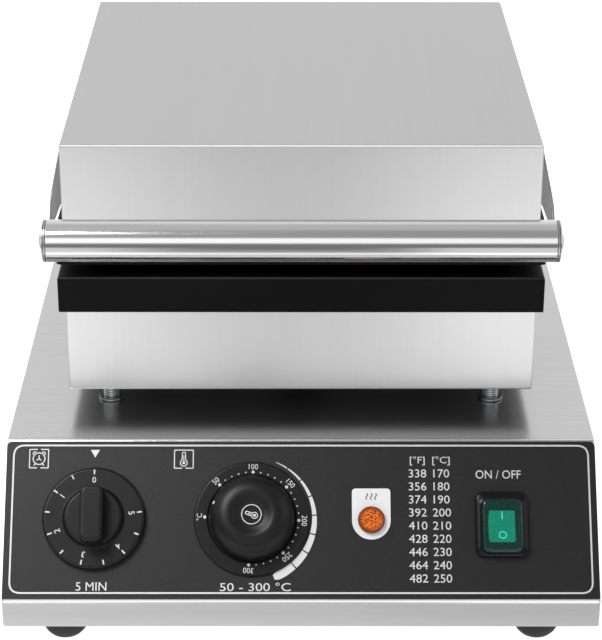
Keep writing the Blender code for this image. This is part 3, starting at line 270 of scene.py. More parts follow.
def lettering(text, height, low, high, squeeze=1.0, bold=0.0):
    """Solid letters or digits of one height, centred, from the built-in type."""
    curve = bpy.data.curves.new("lettering", "FONT")
    curve.body = text
    curve.extrude = 0.5
    curve.offset = bold
    curve.resolution_u = 3
    made = linked("lettering", curve)
    graph = bpy.context.evaluated_depsgraph_get()
    mesh = bpy.data.meshes.new_from_object(made.evaluated_get(graph))
    shape = mesh_shape(mesh)
    bpy.data.objects.remove(made)
    bpy.data.curves.remove(curve)
    bpy.data.meshes.remove(mesh)
    lowest, highest = shape.points.min(axis=0), shape.points.max(axis=0)
    scale = height / (highest[1] - lowest[1])
    shape.points -= (lowest + highest) / 2
    shape.points *= (scale * squeeze, scale, high - low)
    shape.points[:, 2] += (high + low) / 2
    return shape


# ----------------------------------------
# Finishes


class Value:
    """One socket of a shader tree, whose arithmetic adds Math nodes."""

    def __init__(self, tree, socket):
        self.tree = tree
        self.socket = socket

    def node(self, kind, settings=None, sockets=None, output=0):
        """Add a node, set it up, then give its sockets their values or links."""
        made = self.tree.nodes.new(kind)
        for name, setting in (settings or {}).items():
            setattr(made, name, setting)
        for name, value in (sockets or {}).items():
            if isinstance(value, Value):
                self.tree.links.new(value.socket, made.inputs[name])
            else:
                made.inputs[name].default_value = value
        return Value(self.tree, made.outputs[output])

    def axes(self, names):
        """The named parts of a vector, such as XY."""
        return [self.node("ShaderNodeSeparateXYZ", {}, {"Vector": self}, name) for name in names]

    def maths(self, operation, first, second):
        """Any operation of the Math node."""
        return self.node("ShaderNodeMath", {"operation": operation}, {0: first, 1: second})

    def __abs__(self):
        return self.maths("ABSOLUTE", self, 0)

    def __add__(self, other):
        return self.maths("ADD", self, other)

    __radd__ = __add__

    def __sub__(self, other):
        return self.maths("SUBTRACT", self, other)

    def __rsub__(self, other):
        return self.maths("SUBTRACT", other, self)

    def __mul__(self, other):
        return self.maths("MULTIPLY", self, other)

    __rmul__ = __mul__

    def __pow__(self, other):
        return self.maths("POWER", self, other)


def noise(where, scale, stretch=(1, 1, 1), detail=3.0, rough=0.55):
    """Cloudy noise from 0 to 1 on a stretched copy of the coordinates."""
    spot = where.node("ShaderNodeMapping", {}, {"Vector": where, "Scale": stretch})
    return where.node("ShaderNodeTexNoise", {},
                      {"Vector": spot, "Scale": scale, "Detail": detail, "Roughness": rough})


def cells(where, scale):
    """Distance from the middle of the nearest of many small cells."""
    return where.node("ShaderNodeTexVoronoi", {}, {"Vector": where, "Scale": scale}, "Distance")


def blend(mask, dark, light):
    """A colour between two by a mask."""
    return mask.node("ShaderNodeMix", {"data_type": "RGBA"}, {0: mask, 6: dark, 7: light}, 2)


def rising(value, low, high):
    """Zero below one value and one above another, with a smooth step between."""
    return value.node("ShaderNodeMapRange", {"interpolation_type": "SMOOTHSTEP"},
                      {"Value": value, "From Min": low, "From Max": high})


def shade(colour, factor):
    """A plain colour made lighter or darker."""
    return tuple(min(1.0, part * factor) for part in colour[:3]) + (1.0,)


def bumped(height, distance, strength=1.0):
    """A normal from a height pattern."""
    return height.node("ShaderNodeBump", {},
                       {"Strength": strength, "Distance": distance, "Height": height})


def look(colour, mask, tones, roughness, bump=None):
    """Colour between two shares of itself by a mask, a roughness, and a bump where one is given."""
    made = {"Base Color": blend(mask, *(shade(colour, share) for share in tones)),
            "Roughness": roughness}
    if bump:
        made["Normal"] = bumped(*bump)
    return made


def finish(name, constants, varying):
    """A Principled material from plain socket values and a function of the object's coordinates."""
    made = bpy.data.materials.get(name)
    if made is not None:
        return made
    made = bpy.data.materials.new(name)
    made.use_nodes = True
    tree = made.node_tree
    shader = tree.nodes["Principled BSDF"]
    for socket, value in constants.items():
        shader.inputs[socket].default_value = value
    where = Value(tree, tree.nodes.new("ShaderNodeTexCoord").outputs["Object"])
    for socket, value in varying(where).items():
        tree.links.new(value.socket, shader.inputs[socket])
    return made


def near_line(where, line, reach):
    """One on a line along X through (y, z), falling to zero at a reach from it."""
    y, z = where.axes("YZ")
    return 1 - rising(((y - line[0]) ** 2 + (z - line[1]) ** 2) ** 0.5, reach / 2, reach)


def brushed_metal(name, colour, roughness, stretch, contrast=0.10, depth=0.000006, painted_fold_glints=(),
                  shadows=()):
    """Sheet metal with fine drawn lines, broader bands of the same direction and faint clouds.

    Painted fold glints are lines along X given a painted highlight, each a (y, z). Shadows are
    painted darker bands along X, each a (y, z), its reach and the share of the colour left in it.
    """
    def varying(where):
        fine, band = (noise(where, 1.0, tuple(lines * part for part in stretch), detail=2.0)
                      for lines in (2200, 330))
        cloud = noise(where, 9.0, detail=2.0)
        made = look(colour, 0.5 * band + 0.3 * fine + 0.2 * cloud, (1 - contrast, 1 + contrast),
                    roughness - 0.05 + 0.10 * fine + 0.05 * cloud, (fine + 0.5 * band, depth))
        tone = made["Base Color"]
        # Painted shade: darker bands along X
        for line, reach, share in shadows:
            tone = blend(near_line(where, line, reach), tone, shade(colour, share))
        # Painted highlight: a near-white line along each fold, which also glows faintly
        for line in painted_fold_glints:
            painted_glint = near_line(where, line, 0.0005)
            tone = blend(painted_glint, tone, (0.95, 0.95, 0.95, 1))
            lit = blend(painted_glint, made.get("Emission Color", (0, 0, 0, 1)), (1, 1, 1, 1))
            made["Emission Color"] = lit
        made["Base Color"] = tone
        return made
    # The glow is that of the painted fold highlights
    return finish(name, {"Metallic": 1.0, "Emission Strength": 0.06 if painted_fold_glints else 0.0}, varying)


def zinc(name, colour, roughness):
    """Plated metal with the faint grains of its coat."""
    def varying(where):
        cloud = noise(where, 60.0)
        return look(colour, 0.5 * cells(where, 420.0) + 0.5 * cloud, (0.8, 1.2),
                    roughness - 0.06 + 0.14 * cloud, (cloud, 0.00002))
    return finish(name, {"Metallic": 1.0}, varying)


def coated_iron(name, colour, roughness, edge):
    """Cast iron under a thin dark coat: cast grain, slight wear and a painted highlight on its
    front edge.
    """
    def varying(where):
        grain = noise(where, 900.0, detail=4.0)
        cloud = noise(where, 28.0)
        made = look(colour, 0.6 * cloud + 0.4 * grain, (0.7, 1.5),
                    roughness - 0.08 + 0.16 * grain, (grain, 0.00008, 0.6))
        # Painted highlight: a pale line along the front edge, nine times the coat's colour
        made["Base Color"] = blend(near_line(where, edge, 0.0009), made["Base Color"],
                                   shade(colour, 9.0))
        return made
    return finish(name, {"Specular IOR Level": 0.05}, varying)


def moulded_plastic(name, colour, roughness, gloss=0.19, depth=0.000015):
    """Moulded plastic with a fine spark-eroded grain."""
    def varying(where):
        grain = noise(where, 2600.0, detail=2.0)
        cloud = noise(where, 35.0)
        return look(colour, cloud, (0.85, 1.2), roughness - 0.05 + 0.07 * grain + 0.05 * cloud,
                    (grain, depth, 0.7))
    return finish(name, {"Specular IOR Level": gloss}, varying)


def speckled_print(name, colour, roughness):
    """Printed overlay film: dark grey with a fine metallic-looking speckle and a pebbled face."""
    def varying(where):
        speck = noise(where, 1500.0, detail=1.0, rough=0.4)
        fine = noise(where, 3400.0, detail=1.0)
        return look(colour, rising(0.45 * speck + 0.55 * fine, 0.38, 0.62), (0.62, 1.5),
                    roughness - 0.06 + 0.12 * fine, (speck, 0.00001, 0.6))
    return finish(name, {"Specular IOR Level": 0.27}, varying)


def rubber(name, colour):
    """Matt rubber with a dusty bloom."""
    def varying(where):
        cloud = noise(where, 90.0)
        grain = noise(where, 1800.0)
        return look(colour, cloud, (0.7, 1.6), 0.62 + 0.2 * grain, (grain, 0.00003))
    return finish(name, {}, varying)


def ink(name, colour, roughness=0.5):
    """Printed or pad-printed ink, a little uneven."""
    def varying(where):
        cloud = noise(where, 700.0)
        return look(colour, cloud, (0.88, 1.06), roughness + 0.12 * cloud)
    return finish(name, {}, varying)


def fibre(name, colour):
    """Pressed insulating fibre."""
    def varying(where):
        strand = noise(where, 260.0, stretch=(1, 3, 1), detail=5.0, rough=0.7)
        return look(colour, strand, (0.8, 1.05), 0.85 + 0.1 * strand, (strand, 0.0004))
    return finish(name, {}, varying)


def amber_glass(name, colour, centre, glow=0.34):
    """Faceted amber plastic, lit from behind its centre: bright cells between darker joints."""
    def varying(where):
        far = where.node("ShaderNodeVectorMath", {"operation": "DISTANCE"}, {0: where, 1: centre},
                         "Value")
        edge = rising(far, 0.0042, 0.0067)
        cell = cells(where, 1500.0)
        tint = noise(where, 900.0)
        mask = rising(cell + 0.5 * tint, 0.35, 1.0)
        spark = rising(noise(where, 1900.0), 0.57, 0.67)
        tone = blend(mask, shade(colour, 1.1), shade(colour, 0.10))
        return {
            "Base Color": blend(edge, tone, shade(colour, 0.22)),
            "Emission Color": blend(edge, blend(spark, tone, (1.0, 0.36, 0.05, 1)),
                                    shade(colour, 0.12)),
            "Roughness": 0.16 + 0.08 * tint,
        }
    return finish(name, {"Specular IOR Level": 0.2, "Emission Strength": glow}, varying)


def clear_green(name, colour):
    """Soft see-through cover, tinted green."""
    def varying(where):
        cloud = noise(where, 240.0)
        return look(colour, cloud, (0.85, 1.1), 0.02 + 0.05 * cloud)
    return finish(name, {"Transmission Weight": 0.86, "IOR": 1.12, "Coat Weight": 0.6,
                         "Coat Roughness": 0.04}, varying)


def lit_green(name, colour, glow=3.6):
    """Rocker of tinted plastic with a small lamp behind it."""
    def varying(where):
        cloud = noise(where, 150.0)
        made = look(colour, cloud, (0.85, 1.1), 0.28 + 0.1 * cloud)
        made["Emission Color"] = blend(cloud, shade(colour, 0.8), shade(colour, 1.1))
        return made
    return finish(name, {"Emission Strength": glow}, varying)


# ----------------------------------------
# Pieces


def extent(node):
    """A CAD node's lowest corner, highest corner and middle."""
    low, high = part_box(node)
    return low, high, (low + high) / 2


def linked(name, data):
    """A new object in the scene."""
    made = bpy.data.objects.new(name, data)
    bpy.context.scene.collection.objects.link(made)
    return made


def weld(mesh, distance, flat=None):
    """Merge a mesh's doubled points, and drop faces without area or edges inside flat faces."""
    work = bmesh.new()
    work.from_mesh(mesh)
    bmesh.ops.remove_doubles(work, verts=work.verts, dist=distance)
    if flat is None:
        bmesh.ops.dissolve_degenerate(work, edges=work.edges, dist=distance)
    else:
        bmesh.ops.dissolve_limit(work, angle_limit=flat, verts=work.verts, edges=work.edges)
    work.to_mesh(mesh)
    work.free()


def shaded(made, angle, bevel=0.0):
    """Shade an object smoothly between its sharp edges, after rounding them where asked."""
    if bevel:
        step = made.modifiers.new("rounded_edges", "BEVEL")
        step.width = bevel
        step.segments = 2
        step.limit_method = "ANGLE"
        step.angle_limit = radians(angle)
        step.harden_normals = False
    made.data.shade_smooth()
    if not bevel:
        made.data.set_sharp_from_angle(angle=radians(angle))
    step = made.modifiers.new("flat_face_normals", "WEIGHTED_NORMAL")
    step.keep_sharp = True


def put(made, coat, body, nodes):
    """Give an object its finish, its body and the CAD nodes it stands for."""
    made.data.materials.clear()
    made.data.materials.append(coat)
    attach(made, body)
    if nodes:
        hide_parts(*nodes)
    return made


def add_piece(name, shape, coat, body, nodes=(), angle=32):
    """Make a shape a piece in place of some CAD nodes."""
    mesh = bpy.data.meshes.new(name)
    faces = [face for block in shape.faces for face in block.tolist()]
    mesh.from_pydata(shape.points.tolist(), [], faces)
    weld(mesh, weld_distance)
    made = linked(name, mesh)
    shaded(made, angle)
    return put(made, coat, body, nodes)


def add_softened(name, node, coat, body, bevel=0.0):
    """A welded copy of a CAD node with its sharp edges rounded, in the node's place."""
    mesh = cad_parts[node].data.copy()
    mesh.name = name
    if "custom_normal" in mesh.attributes:
        mesh.attributes.remove(mesh.attributes["custom_normal"])
    weld(mesh, solid_weld, flat_enough)
    made = linked(name, mesh)
    shaded(made, 32, bevel)
    return put(made, coat, body, (node,))


def recoat(coat, *nodes):
    """Give CAD nodes that stay a finish of their own."""
    for node in nodes:
        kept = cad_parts[node]
        kept.data.materials.clear()
        kept.data.materials.append(coat)


def on_panel(spot, height=0.0):
    """A place on the sloping panel, at a height over it."""
    return panel_place @ Matrix.Translation((*spot, height))


# ----------------------------------------
# What a user may change


def tint(name, description, *parts):
    """A colour setting from its red, green and blue."""
    return FloatVectorProperty(name=name, description=description, subtype="COLOR", size=4,
                               default=parts + (1.0,))


def amount(name, description, default, **more):
    """A number setting that can't fall below zero."""
    return FloatProperty(name=name, description=description, default=default, min=0, **more)


class StageSettings(bpy.types.PropertyGroup):
    """Floor, light and camera."""
    floor_colour: tint("Floor colour", "Pale studio floor", 0.42, 0.42, 0.42)
    table_glow: amount("Table glow", "Half the floor's own light", 0.42)
    side_glow: amount("Side glow", "Extra floor light at both sides in front", 1.30)
    world_strength: amount("Room light", "Strength of the even room light", 0.65)
    room_front: amount("Ceiling seen in gloss", "Front ceiling in reflections", 0.45)
    window_strength: amount("Front window", "Wide soft window behind the camera", 1.1)
    left_power: amount("Left softbox", "Power of the left light", 1.25, unit="POWER")
    right_power: amount("Right softbox", "Power of the right light", 4.0, unit="POWER")
    camera_place: FloatVectorProperty(name="Camera place", description="Where the camera stands",
                                      subtype="TRANSLATION", size=3, unit="LENGTH",
                                      default=(-0.0035, -1.1929, 0.6473))
    camera_turn: FloatVectorProperty(name="Camera turn", description="Its heading, fall and roll",
                                     subtype="EULER", size=3,
                                     default=(radians(0.183), radians(24.62), radians(-0.112)))
    camera_lens: amount("Lens", "Focal length on a 36 mm sensor", 121.54, unit="CAMERA")


class MetalSettings(bpy.types.PropertyGroup):
    """Colours and sheen of the metal parts."""
    sheet_colour: tint("Brushed steel", "Housing's sheet steel", 0.50, 0.50, 0.50)
    sheet_roughness: amount("Brushed roughness", "Roughness of the housing", 0.22,
                            max=1, subtype="FACTOR")
    cover_colour: tint("Polished steel", "Covers and handle", 0.455, 0.455, 0.455)
    cover_roughness: amount("Cover roughness", "Roughness of the covers", 0.34,
                            max=1, subtype="FACTOR")
    zinc_colour: tint("Zinc", "Plated fasteners and brackets", 0.52, 0.53, 0.54)
    brass_colour: tint("Brass", "Timer bell", 0.70, 0.50, 0.20)


class DarkSettings(bpy.types.PropertyGroup):
    """Colours of the dark parts."""
    mould_colour: tint("Mould coat", "Coat on the cast moulds", 0.003, 0.003, 0.0032)
    knob_colour: tint("Knobs", "Knobs and number ring", 0.0048, 0.0048, 0.0051)
    overlay_colour: tint("Panel print", "Printed panel film", 0.008, 0.008, 0.0084)
    rubber_colour: tint("Rubber", "Feet and switch frame", 0.012, 0.012, 0.012)


class BrightSettings(bpy.types.PropertyGroup):
    """Colours of inks, lamp and switch."""
    ink_colour: tint("White ink", "Figures and lines", 0.52, 0.52, 0.52)
    label_colour: tint("Lamp label", "Label under the lamp", 0.62, 0.62, 0.63)
    amber_colour: tint("Amber", "Lamp lens", 0.80, 0.15, 0.006)
    cover_green: tint("Splash cover", "Cover over the rocker", 0.010, 0.14, 0.105)
    rocker_green: tint("Rocker", "Lit rocker of the switch", 0.075, 0.60, 0.47)
    line_width: amount("Frame line", "Width of the line round the panel", 0.0009, unit="LENGTH")
    ink_thick: amount("Ink thickness", "How far ink stands proud", 0.00006, unit="LENGTH")


def chosen(group):
    """One group of settings: stage, metal, dark or bright."""
    return getattr(bpy.context.scene, f"waffle_{group}")


def drawn_sheet():
    """Housing steel drawn side to side, with painted highlights on the bends above and below the
    panel.
    """
    metal = chosen("metal")
    # Lines of painted highlight, each a (y, z): the lip's fold and the top's front fold
    lip = (shell_low.y + 0.0001, shell_low.z + lip_height)
    top = (shell_low.y + panel_depth + 0.0002, shell_high.z - 0.0001)
    return brushed_metal("brushed_steel_sheet", metal.sheet_colour, metal.sheet_roughness,
                         stretch=(0.02, 1, 1), painted_fold_glints=(lip, top))


def cover_sheet():
    """Cover steel, drawn upwards, with a painted highlight on the front fold."""
    metal = chosen("metal")
    low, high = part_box("upper_cover")
    inside = 0.00041
    # Line of painted highlight along the front fold, just inside its outer corner
    fold = (low.y + inside, high.z - inside)
    return brushed_metal("polished_steel_sheet", metal.cover_colour, metal.cover_roughness,
                         stretch=(1, 0.03, 0.02), contrast=0.06, depth=0.000003, painted_fold_glints=(fold,))


def arm_sheet():
    """Steel of the handle's arms: the cover steel made darker as painted shade."""
    return brushed_metal("arm_steel", shade(chosen("metal").cover_colour, 0.62),
                         roughness=0.30, stretch=(1, 0.5, 1), contrast=0.06)


def polished_bar():
    """Handle steel, polished along its length, with painted dark reflections in two bands in front.
    """
    low, _, middle = extent("handle_tube")
    # Painted dark reflections, each a line (y, z), its reach and the share of the colour left in it
    bands = (((low.y + 0.0035, middle.z - 0.0080), 0.0090, 0.90),
             ((low.y, middle.z), 0.0031, 0.42))
    return brushed_metal("polished_steel_bar", shade(chosen("metal").cover_colour, 1.35),
                         roughness=0.12, stretch=(0.03, 1, 1), contrast=0.05, depth=0.000002,
                         shadows=bands)


def plated():
    """Bright zinc of fasteners, brackets and plates."""
    return zinc("plated_zinc", chosen("metal").zinc_colour, roughness=0.34)


def iron_coat():
    """Coat of the moulds, with a painted highlight along the lower one's top front edge."""
    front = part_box("lower_mould")[0].y + 0.0002
    return coated_iron("iron_coat", chosen("dark").mould_colour, roughness=0.42,
                       edge=(front, mould_edge))


def knob_plastic():
    """Satin black plastic of knobs, ring, gland and hidden cases."""
    return moulded_plastic("knob_plastic", chosen("dark").knob_colour, roughness=0.36)


def glossy_frame():
    """Switch frame of shiny black plastic."""
    return moulded_plastic("glossy_frame", shade(chosen("dark").rubber_colour, 0.3),
                           roughness=0.24, gloss=0.16, depth=0.000004)


def white_ink():
    """Ink of the figures and lines."""
    return ink("white_ink", chosen("bright").ink_colour)


def flat_ink(base):
    """Lowest and highest level of ink on a face."""
    return base + ink_lift, base + ink_lift + chosen("bright").ink_thick


def add_print(name, parts, place=Matrix.Identity(4), body="base", coat=None):
    """Make thin solids of ink one piece."""
    return add_piece(name, joined(parts).placed(place), coat or white_ink(), body)


# ----------------------------------------
# Stage


def studio_floor():
    """Pale floor that the camera sees plain, while the object sees its own light uneven.

    That light falls off ahead of the object, has a brighter band in the middle of the front, and
    is stronger at both sides. Distances are in metres from the object's middle.
    """
    stage = chosen("stage")
    reach = 8.0
    mesh = bpy.data.meshes.new("studio_floor")
    mesh.from_pydata([(-reach, -reach, 0), (reach, -reach, 0), (reach, reach, 0),
                      (-reach, reach, 0)], [], [(0, 1, 2, 3)])

    def varying(where):
        cloud = noise(where, 1.5)
        x, y = where.axes("XY")
        left, front = 0 - x, 0 - y
        sides = 1.3 * rising(left, 0.05, 0.28) + 4.6 * rising(x, 0.05, 0.32)
        sides = sides * (1 - rising(abs(x), 0.40, 0.60))
        ahead = rising(front, 0.205, 0.25)
        middle = (2.6 * rising(front, 0.28, 0.34) - 1.6 * rising(front, 0.39, 0.45)
                  - 1.1 * rising(front, 0.52, 0.60))
        near = rising(front, 0.28, 0.37) * (1 - rising(front, 0.75, 1.1))
        glow = ((1 - 0.58 * ahead + 0.34 * middle) * stage.table_glow
                + stage.side_glow * sides * near)
        shown = where.node("ShaderNodeLightPath", output="Is Camera Ray")
        return {
            "Base Color": blend(cloud, shade(stage.floor_colour, 0.99),
                                shade(stage.floor_colour, 1.01)),
            "Emission Color": blend(glow + shown * (0.5 - glow), (0, 0, 0, 1), (1, 1, 1, 1)),
        }

    coat = finish("studio_floor", {"Roughness": 0.9, "Specular IOR Level": 0.1,
                                   "Emission Strength": 2.0}, varying)
    coat.cycles.emission_sampling = "NONE"
    mesh.materials.append(coat)
    linked("studio_floor", mesh)


def studio_room():
    """Even light on surfaces, and a ceiling with a wide soft window for what mirrors it."""
    stage = chosen("stage")
    world = bpy.data.worlds.new("studio_room")
    world.use_nodes = True
    tree = world.node_tree
    where = Value(tree, tree.nodes.new("ShaderNodeTexCoord").outputs["Generated"])
    x, y, z = where.axes("XYZ")
    window = rising(z, 0.10, 0.24) * (1 - rising(z, 0.52, 0.68))
    window = window * (1 - rising(abs(x), 0.25, 0.55))
    front = stage.room_front + stage.window_strength * window * (1 - 0.7 * x)
    back = 1.1 - 0.4 * rising(z, 0.6, 0.95)
    facing = rising(0 - y, -0.05, 0.30)
    mirrored = facing * front + (1 - facing) * back
    glossy = where.node("ShaderNodeLightPath", output="Is Glossy Ray")
    shown = where.node("ShaderNodeLightPath", output="Is Camera Ray")
    even = stage.world_strength + (1 - stage.world_strength) * shown
    strength = glossy * mirrored + (1 - glossy) * even
    room = tree.nodes["Background"]
    tree.links.new(strength.socket, room.inputs["Strength"])
    room.inputs["Color"].default_value = (1.0, 1.0, 1.0, 1.0)
    bpy.context.scene.world = world


def studio_softboxes():
    """Two square lights, each with its place, aim, power, size and spread in degrees."""
    stage = chosen("stage")
    for name, spot, aim, power, size, spread in (
            ("left_softbox", (-0.50, -0.47, 0.90), (-0.17, -0.22, 0.06), stage.left_power, 0.5, 50),
            ("right_softbox", (1.6, -0.8, 1.2), (0, 0, 0.1), stage.right_power, 1.0, 180)):
        lamp = bpy.data.lights.new(name, "AREA")
        lamp.energy = power
        lamp.size = size
        lamp.spread = radians(spread)
        made = linked(name, lamp)
        made.visible_camera = False
        turn = (Vector(aim) - Vector(spot)).to_track_quat("-Z", "Y").to_matrix().to_4x4()
        made.matrix_world = Matrix.Translation(spot) @ turn


def studio_camera():
    """Camera that looks along a heading and a fall, then rolls about that line."""
    stage = chosen("stage")
    heading, fall, roll = stage.camera_turn
    look = Vector((sin(heading) * cos(fall), cos(heading) * cos(fall), -sin(fall)))
    right = look.cross(Vector((0, 0, 1))).normalized()
    down = look.cross(right).normalized()
    across = right * cos(roll) + down * sin(roll)
    along = down * cos(roll) - right * sin(roll)
    turn = Matrix((across, -along, -look)).transposed().to_4x4()
    lens = bpy.data.cameras.new("camera")
    lens.lens = stage.camera_lens
    lens.sensor_width = 36.0
    lens.clip_end = 50.0
    camera = linked("camera", lens)
    camera.matrix_world = Matrix.Translation(stage.camera_place) @ turn
    bpy.context.scene.camera = camera


class WAFFLE_OT_stage(bpy.types.Operator):
    """Pale floor, soft light and the camera"""
    bl_idname = "waffle.stage"
    bl_label = "Stage"

    def execute(self, context):
        context.scene.view_settings.view_transform = "Standard"
        studio_floor()
        studio_room()
        studio_softboxes()
        studio_camera()
        return {"FINISHED"}


# ----------------------------------------
# Base and panel


class WAFFLE_OT_housing(bpy.types.Operator):
    """Folded housing, its floor, feet, gland and terminal block"""
    bl_idname = "waffle.housing"
    bl_label = "Housing"

    def execute(self, context):
        add_softened("housing_shell", "base_shell", drawn_sheet(), "base")
        add_softened("housing_floor", "base_floor", plated(), "base")
        coat = rubber("dark_rubber", chosen("dark").rubber_colour)
        for corner in quarters:
            low, high, middle = extent(f"foot_{corner}")
            radius = (high.x - low.x) / 2
            tall = high.z - low.z
            sole, shoulder = radius * 0.68, tall * 0.32
            profile = [(0, 0), (sole, 0), (radius, shoulder), (radius, tall), (0, tall)]
            foot = turned(eased(profile, (0, 0.0012, 0.0035, 0.0008, 0), 8), 64)
            add_piece(f"rubber_foot_{corner}",
                      foot.placed(Matrix.Translation((middle.x, middle.y, low.z))),
                      coat, "base", (f"foot_{corner}",), angle=50)
        add_softened("gland_body", "cable_gland", knob_plastic(), "base",
                     bevel=0.0003)
        add_softened("terminal_block_body", "terminal_block",
                     ink("glazed_ceramic", (0.62, 0.61, 0.58, 1)), "base",
                     bevel=0.0004)
        return {"FINISHED"}


def clock_symbol(low, high):
    """A bracketed square round a plain clock face with two bells and two feet."""
    parts = []
    for side in (-1, 1):
        bracket = [(side * symbol_gap, symbol_half), (side * symbol_half, symbol_half),
                   (side * symbol_half, -symbol_half), (side * symbol_gap, -symbol_half)]
        parts.append(stroke(eased(bracket, 0.0003, 2), symbol_line, low, high))
        lean = side * 0.7
        turn = np.array(((cos(lean), -sin(lean)), (sin(lean), cos(lean))))
        bell = arc_path(0.0011, radians(20), radians(160), 8) @ turn + (side * 0.0022, 0.0026)
        parts.append(stroke(bell, symbol_line, low, high))
        foot = [(side * 0.0019, -0.0029), (side * 0.0027, -0.0038)]
        parts.append(stroke(foot, symbol_line, low, high))
    parts.append(stroke(circle_path(0.0032), symbol_line, low, high, True))
    for tip in ((0, 0.0019), (0.0013, -0.0010), (-0.0013, -0.0010)):
        parts.append(stroke([(0, 0), tip], symbol_line, low, high))
    return joined(parts)


def thermometer(length, width, low, high):
    """A bulb and a stem as one line, with a filled bulb inside."""
    bulb = length * 0.24
    stem = length * 0.11
    middle = -length / 2 + bulb
    top = length / 2 - stem
    gap = radians(62)
    round_part = arc_path(bulb, pi / 2 + gap / 2, pi / 2 + gap / 2 + 2 * pi - gap, 24, middle)
    outline = np.vstack((round_part, [(stem, top)], arc_path(stem, 0, pi, 8, top)[1:-1],
                         [(-stem, top)]))
    filled = prism(circle_path(bulb * 0.45, 20, middle), low, high)
    inner = stroke([(0, middle), (0, top - stem)], width * 0.8, low, high)
    return joined([stroke(outline, width, low, high, True), filled, inner])


def gauge_symbol(low, high):
    """A thermometer between two brackets that meet at the top."""
    tall = 0.0050
    parts = [stroke(eased([(side * symbol_gap, -tall), (side * symbol_half, -tall),
                           (side * symbol_half, tall), (0, tall)], 0.0003, 2),
                    symbol_line, low, high) for side in (-1, 1)]
    return joined(parts + [thermometer(0.0078, 0.0005, low, high)])


def heat_symbol(low, high):
    """Three rising waves: x = a sin(y)."""
    half = 0.0018
    y = np.linspace(-half, half, 15)
    wave = 0.00045 * np.sin(y / half * pi)
    return joined([stroke(np.column_stack((wave + shift, y)), symbol_line, low, high)
                   for shift in (-0.0024, 0, 0.0024)])


def degree_table(low, high):
    """Two columns of plain numbers, one scale beside the other, under their heads."""
    columns = (0.0630, 0.0759)
    head_line, first_line, line_pitch = 0.0765, 0.06955, 0.00715
    rows = [("[°F]", "[°C]")]
    rows += [(str(round(value * 9 / 5 + 32)), str(value)) for value in range(170, 260, 10)]
    parts = []
    for k, row in enumerate(rows):
        s = first_line - (k - 1) * line_pitch if k else head_line
        tall, wide = (0.0045, 1.06) if k else (0.0050, 1.12)
        for x, text in zip(columns, row):
            parts.append(lettering(text, tall, low, high, wide).placed(on_panel((x, s))))
    return parts


def heat_scale(low, high):
    """A swelling arc in eight parts: its width grows in step with its angle."""
    radius, gap = 0.0337, 0.0007
    thin, growth = 0.0003, 0.0045
    tail = (0.96, 0.84, 0.55)
    edges = np.radians((22.6, 34.5, 51.0, 68.3, 86.4, 104.0, 121.7, 138.3, 160.0))
    parts = []
    for k in range(len(edges) - 1):
        start = edges[k] + (gap / radius / 2 if k else 0)
        end = edges[k + 1] - gap / radius / 2
        share = (np.linspace(start, end, 10) - edges[0]) / (edges[-1] - edges[0])
        width = thin + growth * share
        if k == len(edges) - 2:
            width[-3:] *= tail
        parts.append(stroke(arc_path(radius, pi / 2 - start, pi / 2 - end, 10), width, low, high))
    return parts


class WAFFLE_OT_panel(bpy.types.Operator):
    """Printed film on the sloping panel, with its lines, figures and symbols"""
    bl_idname = "waffle.panel"
    bl_label = "Control panel"

    def execute(self, context):
        film = speckled_print("panel_film", chosen("dark").overlay_colour, roughness=0.42)
        add_softened("panel_film", "panel_overlay", film, "base")
        low, high = flat_ink(overlay_face)
        half, low_edge, high_edge, corner = 0.15585, 0.0045, 0.08495, 0.0060
        outline = rectangle_path(-half, low_edge, half, high_edge, corner)
        frame_line = stroke(outline, chosen("bright").line_width, low, high, True)
        add_print("print_frame_line", [frame_line], panel_place)

        half, tip = 0.00245, 0.00215
        pointer = prism([(-half, tip), (0, -tip), (half, tip)], low, high)
        pointer_spot = (timer_spot[0] - 0.0002, 0.08035)
        clock_spot = (-0.14215, 0.07765)
        gauge_spot = (-0.0636, 0.0774)
        add_print("print_symbols", [pointer.placed(on_panel(pointer_spot)),
                                    clock_symbol(low, high).placed(on_panel(clock_spot)),
                                    gauge_symbol(low, high).placed(on_panel(gauge_spot))])

        tall = 0.0046
        words = (("5 MIN", 1.0, (-0.11215, 0.0080)), ("50 - 300 °C", 1.3, (-0.0245, 0.0078)),
                 ("ON / OFF", 0.9, (0.1067, 0.0690)))
        add_print("print_units", [lettering(text, tall, low, high, wide).placed(on_panel(spot))
                                  for text, wide, spot in words])
        add_print("print_degree_table", degree_table(low, high))
        add_print("print_heat_scale", heat_scale(low, high), on_panel(thermostat_spot))
        return {"FINISHED"}


# ----------------------------------------
# Controls


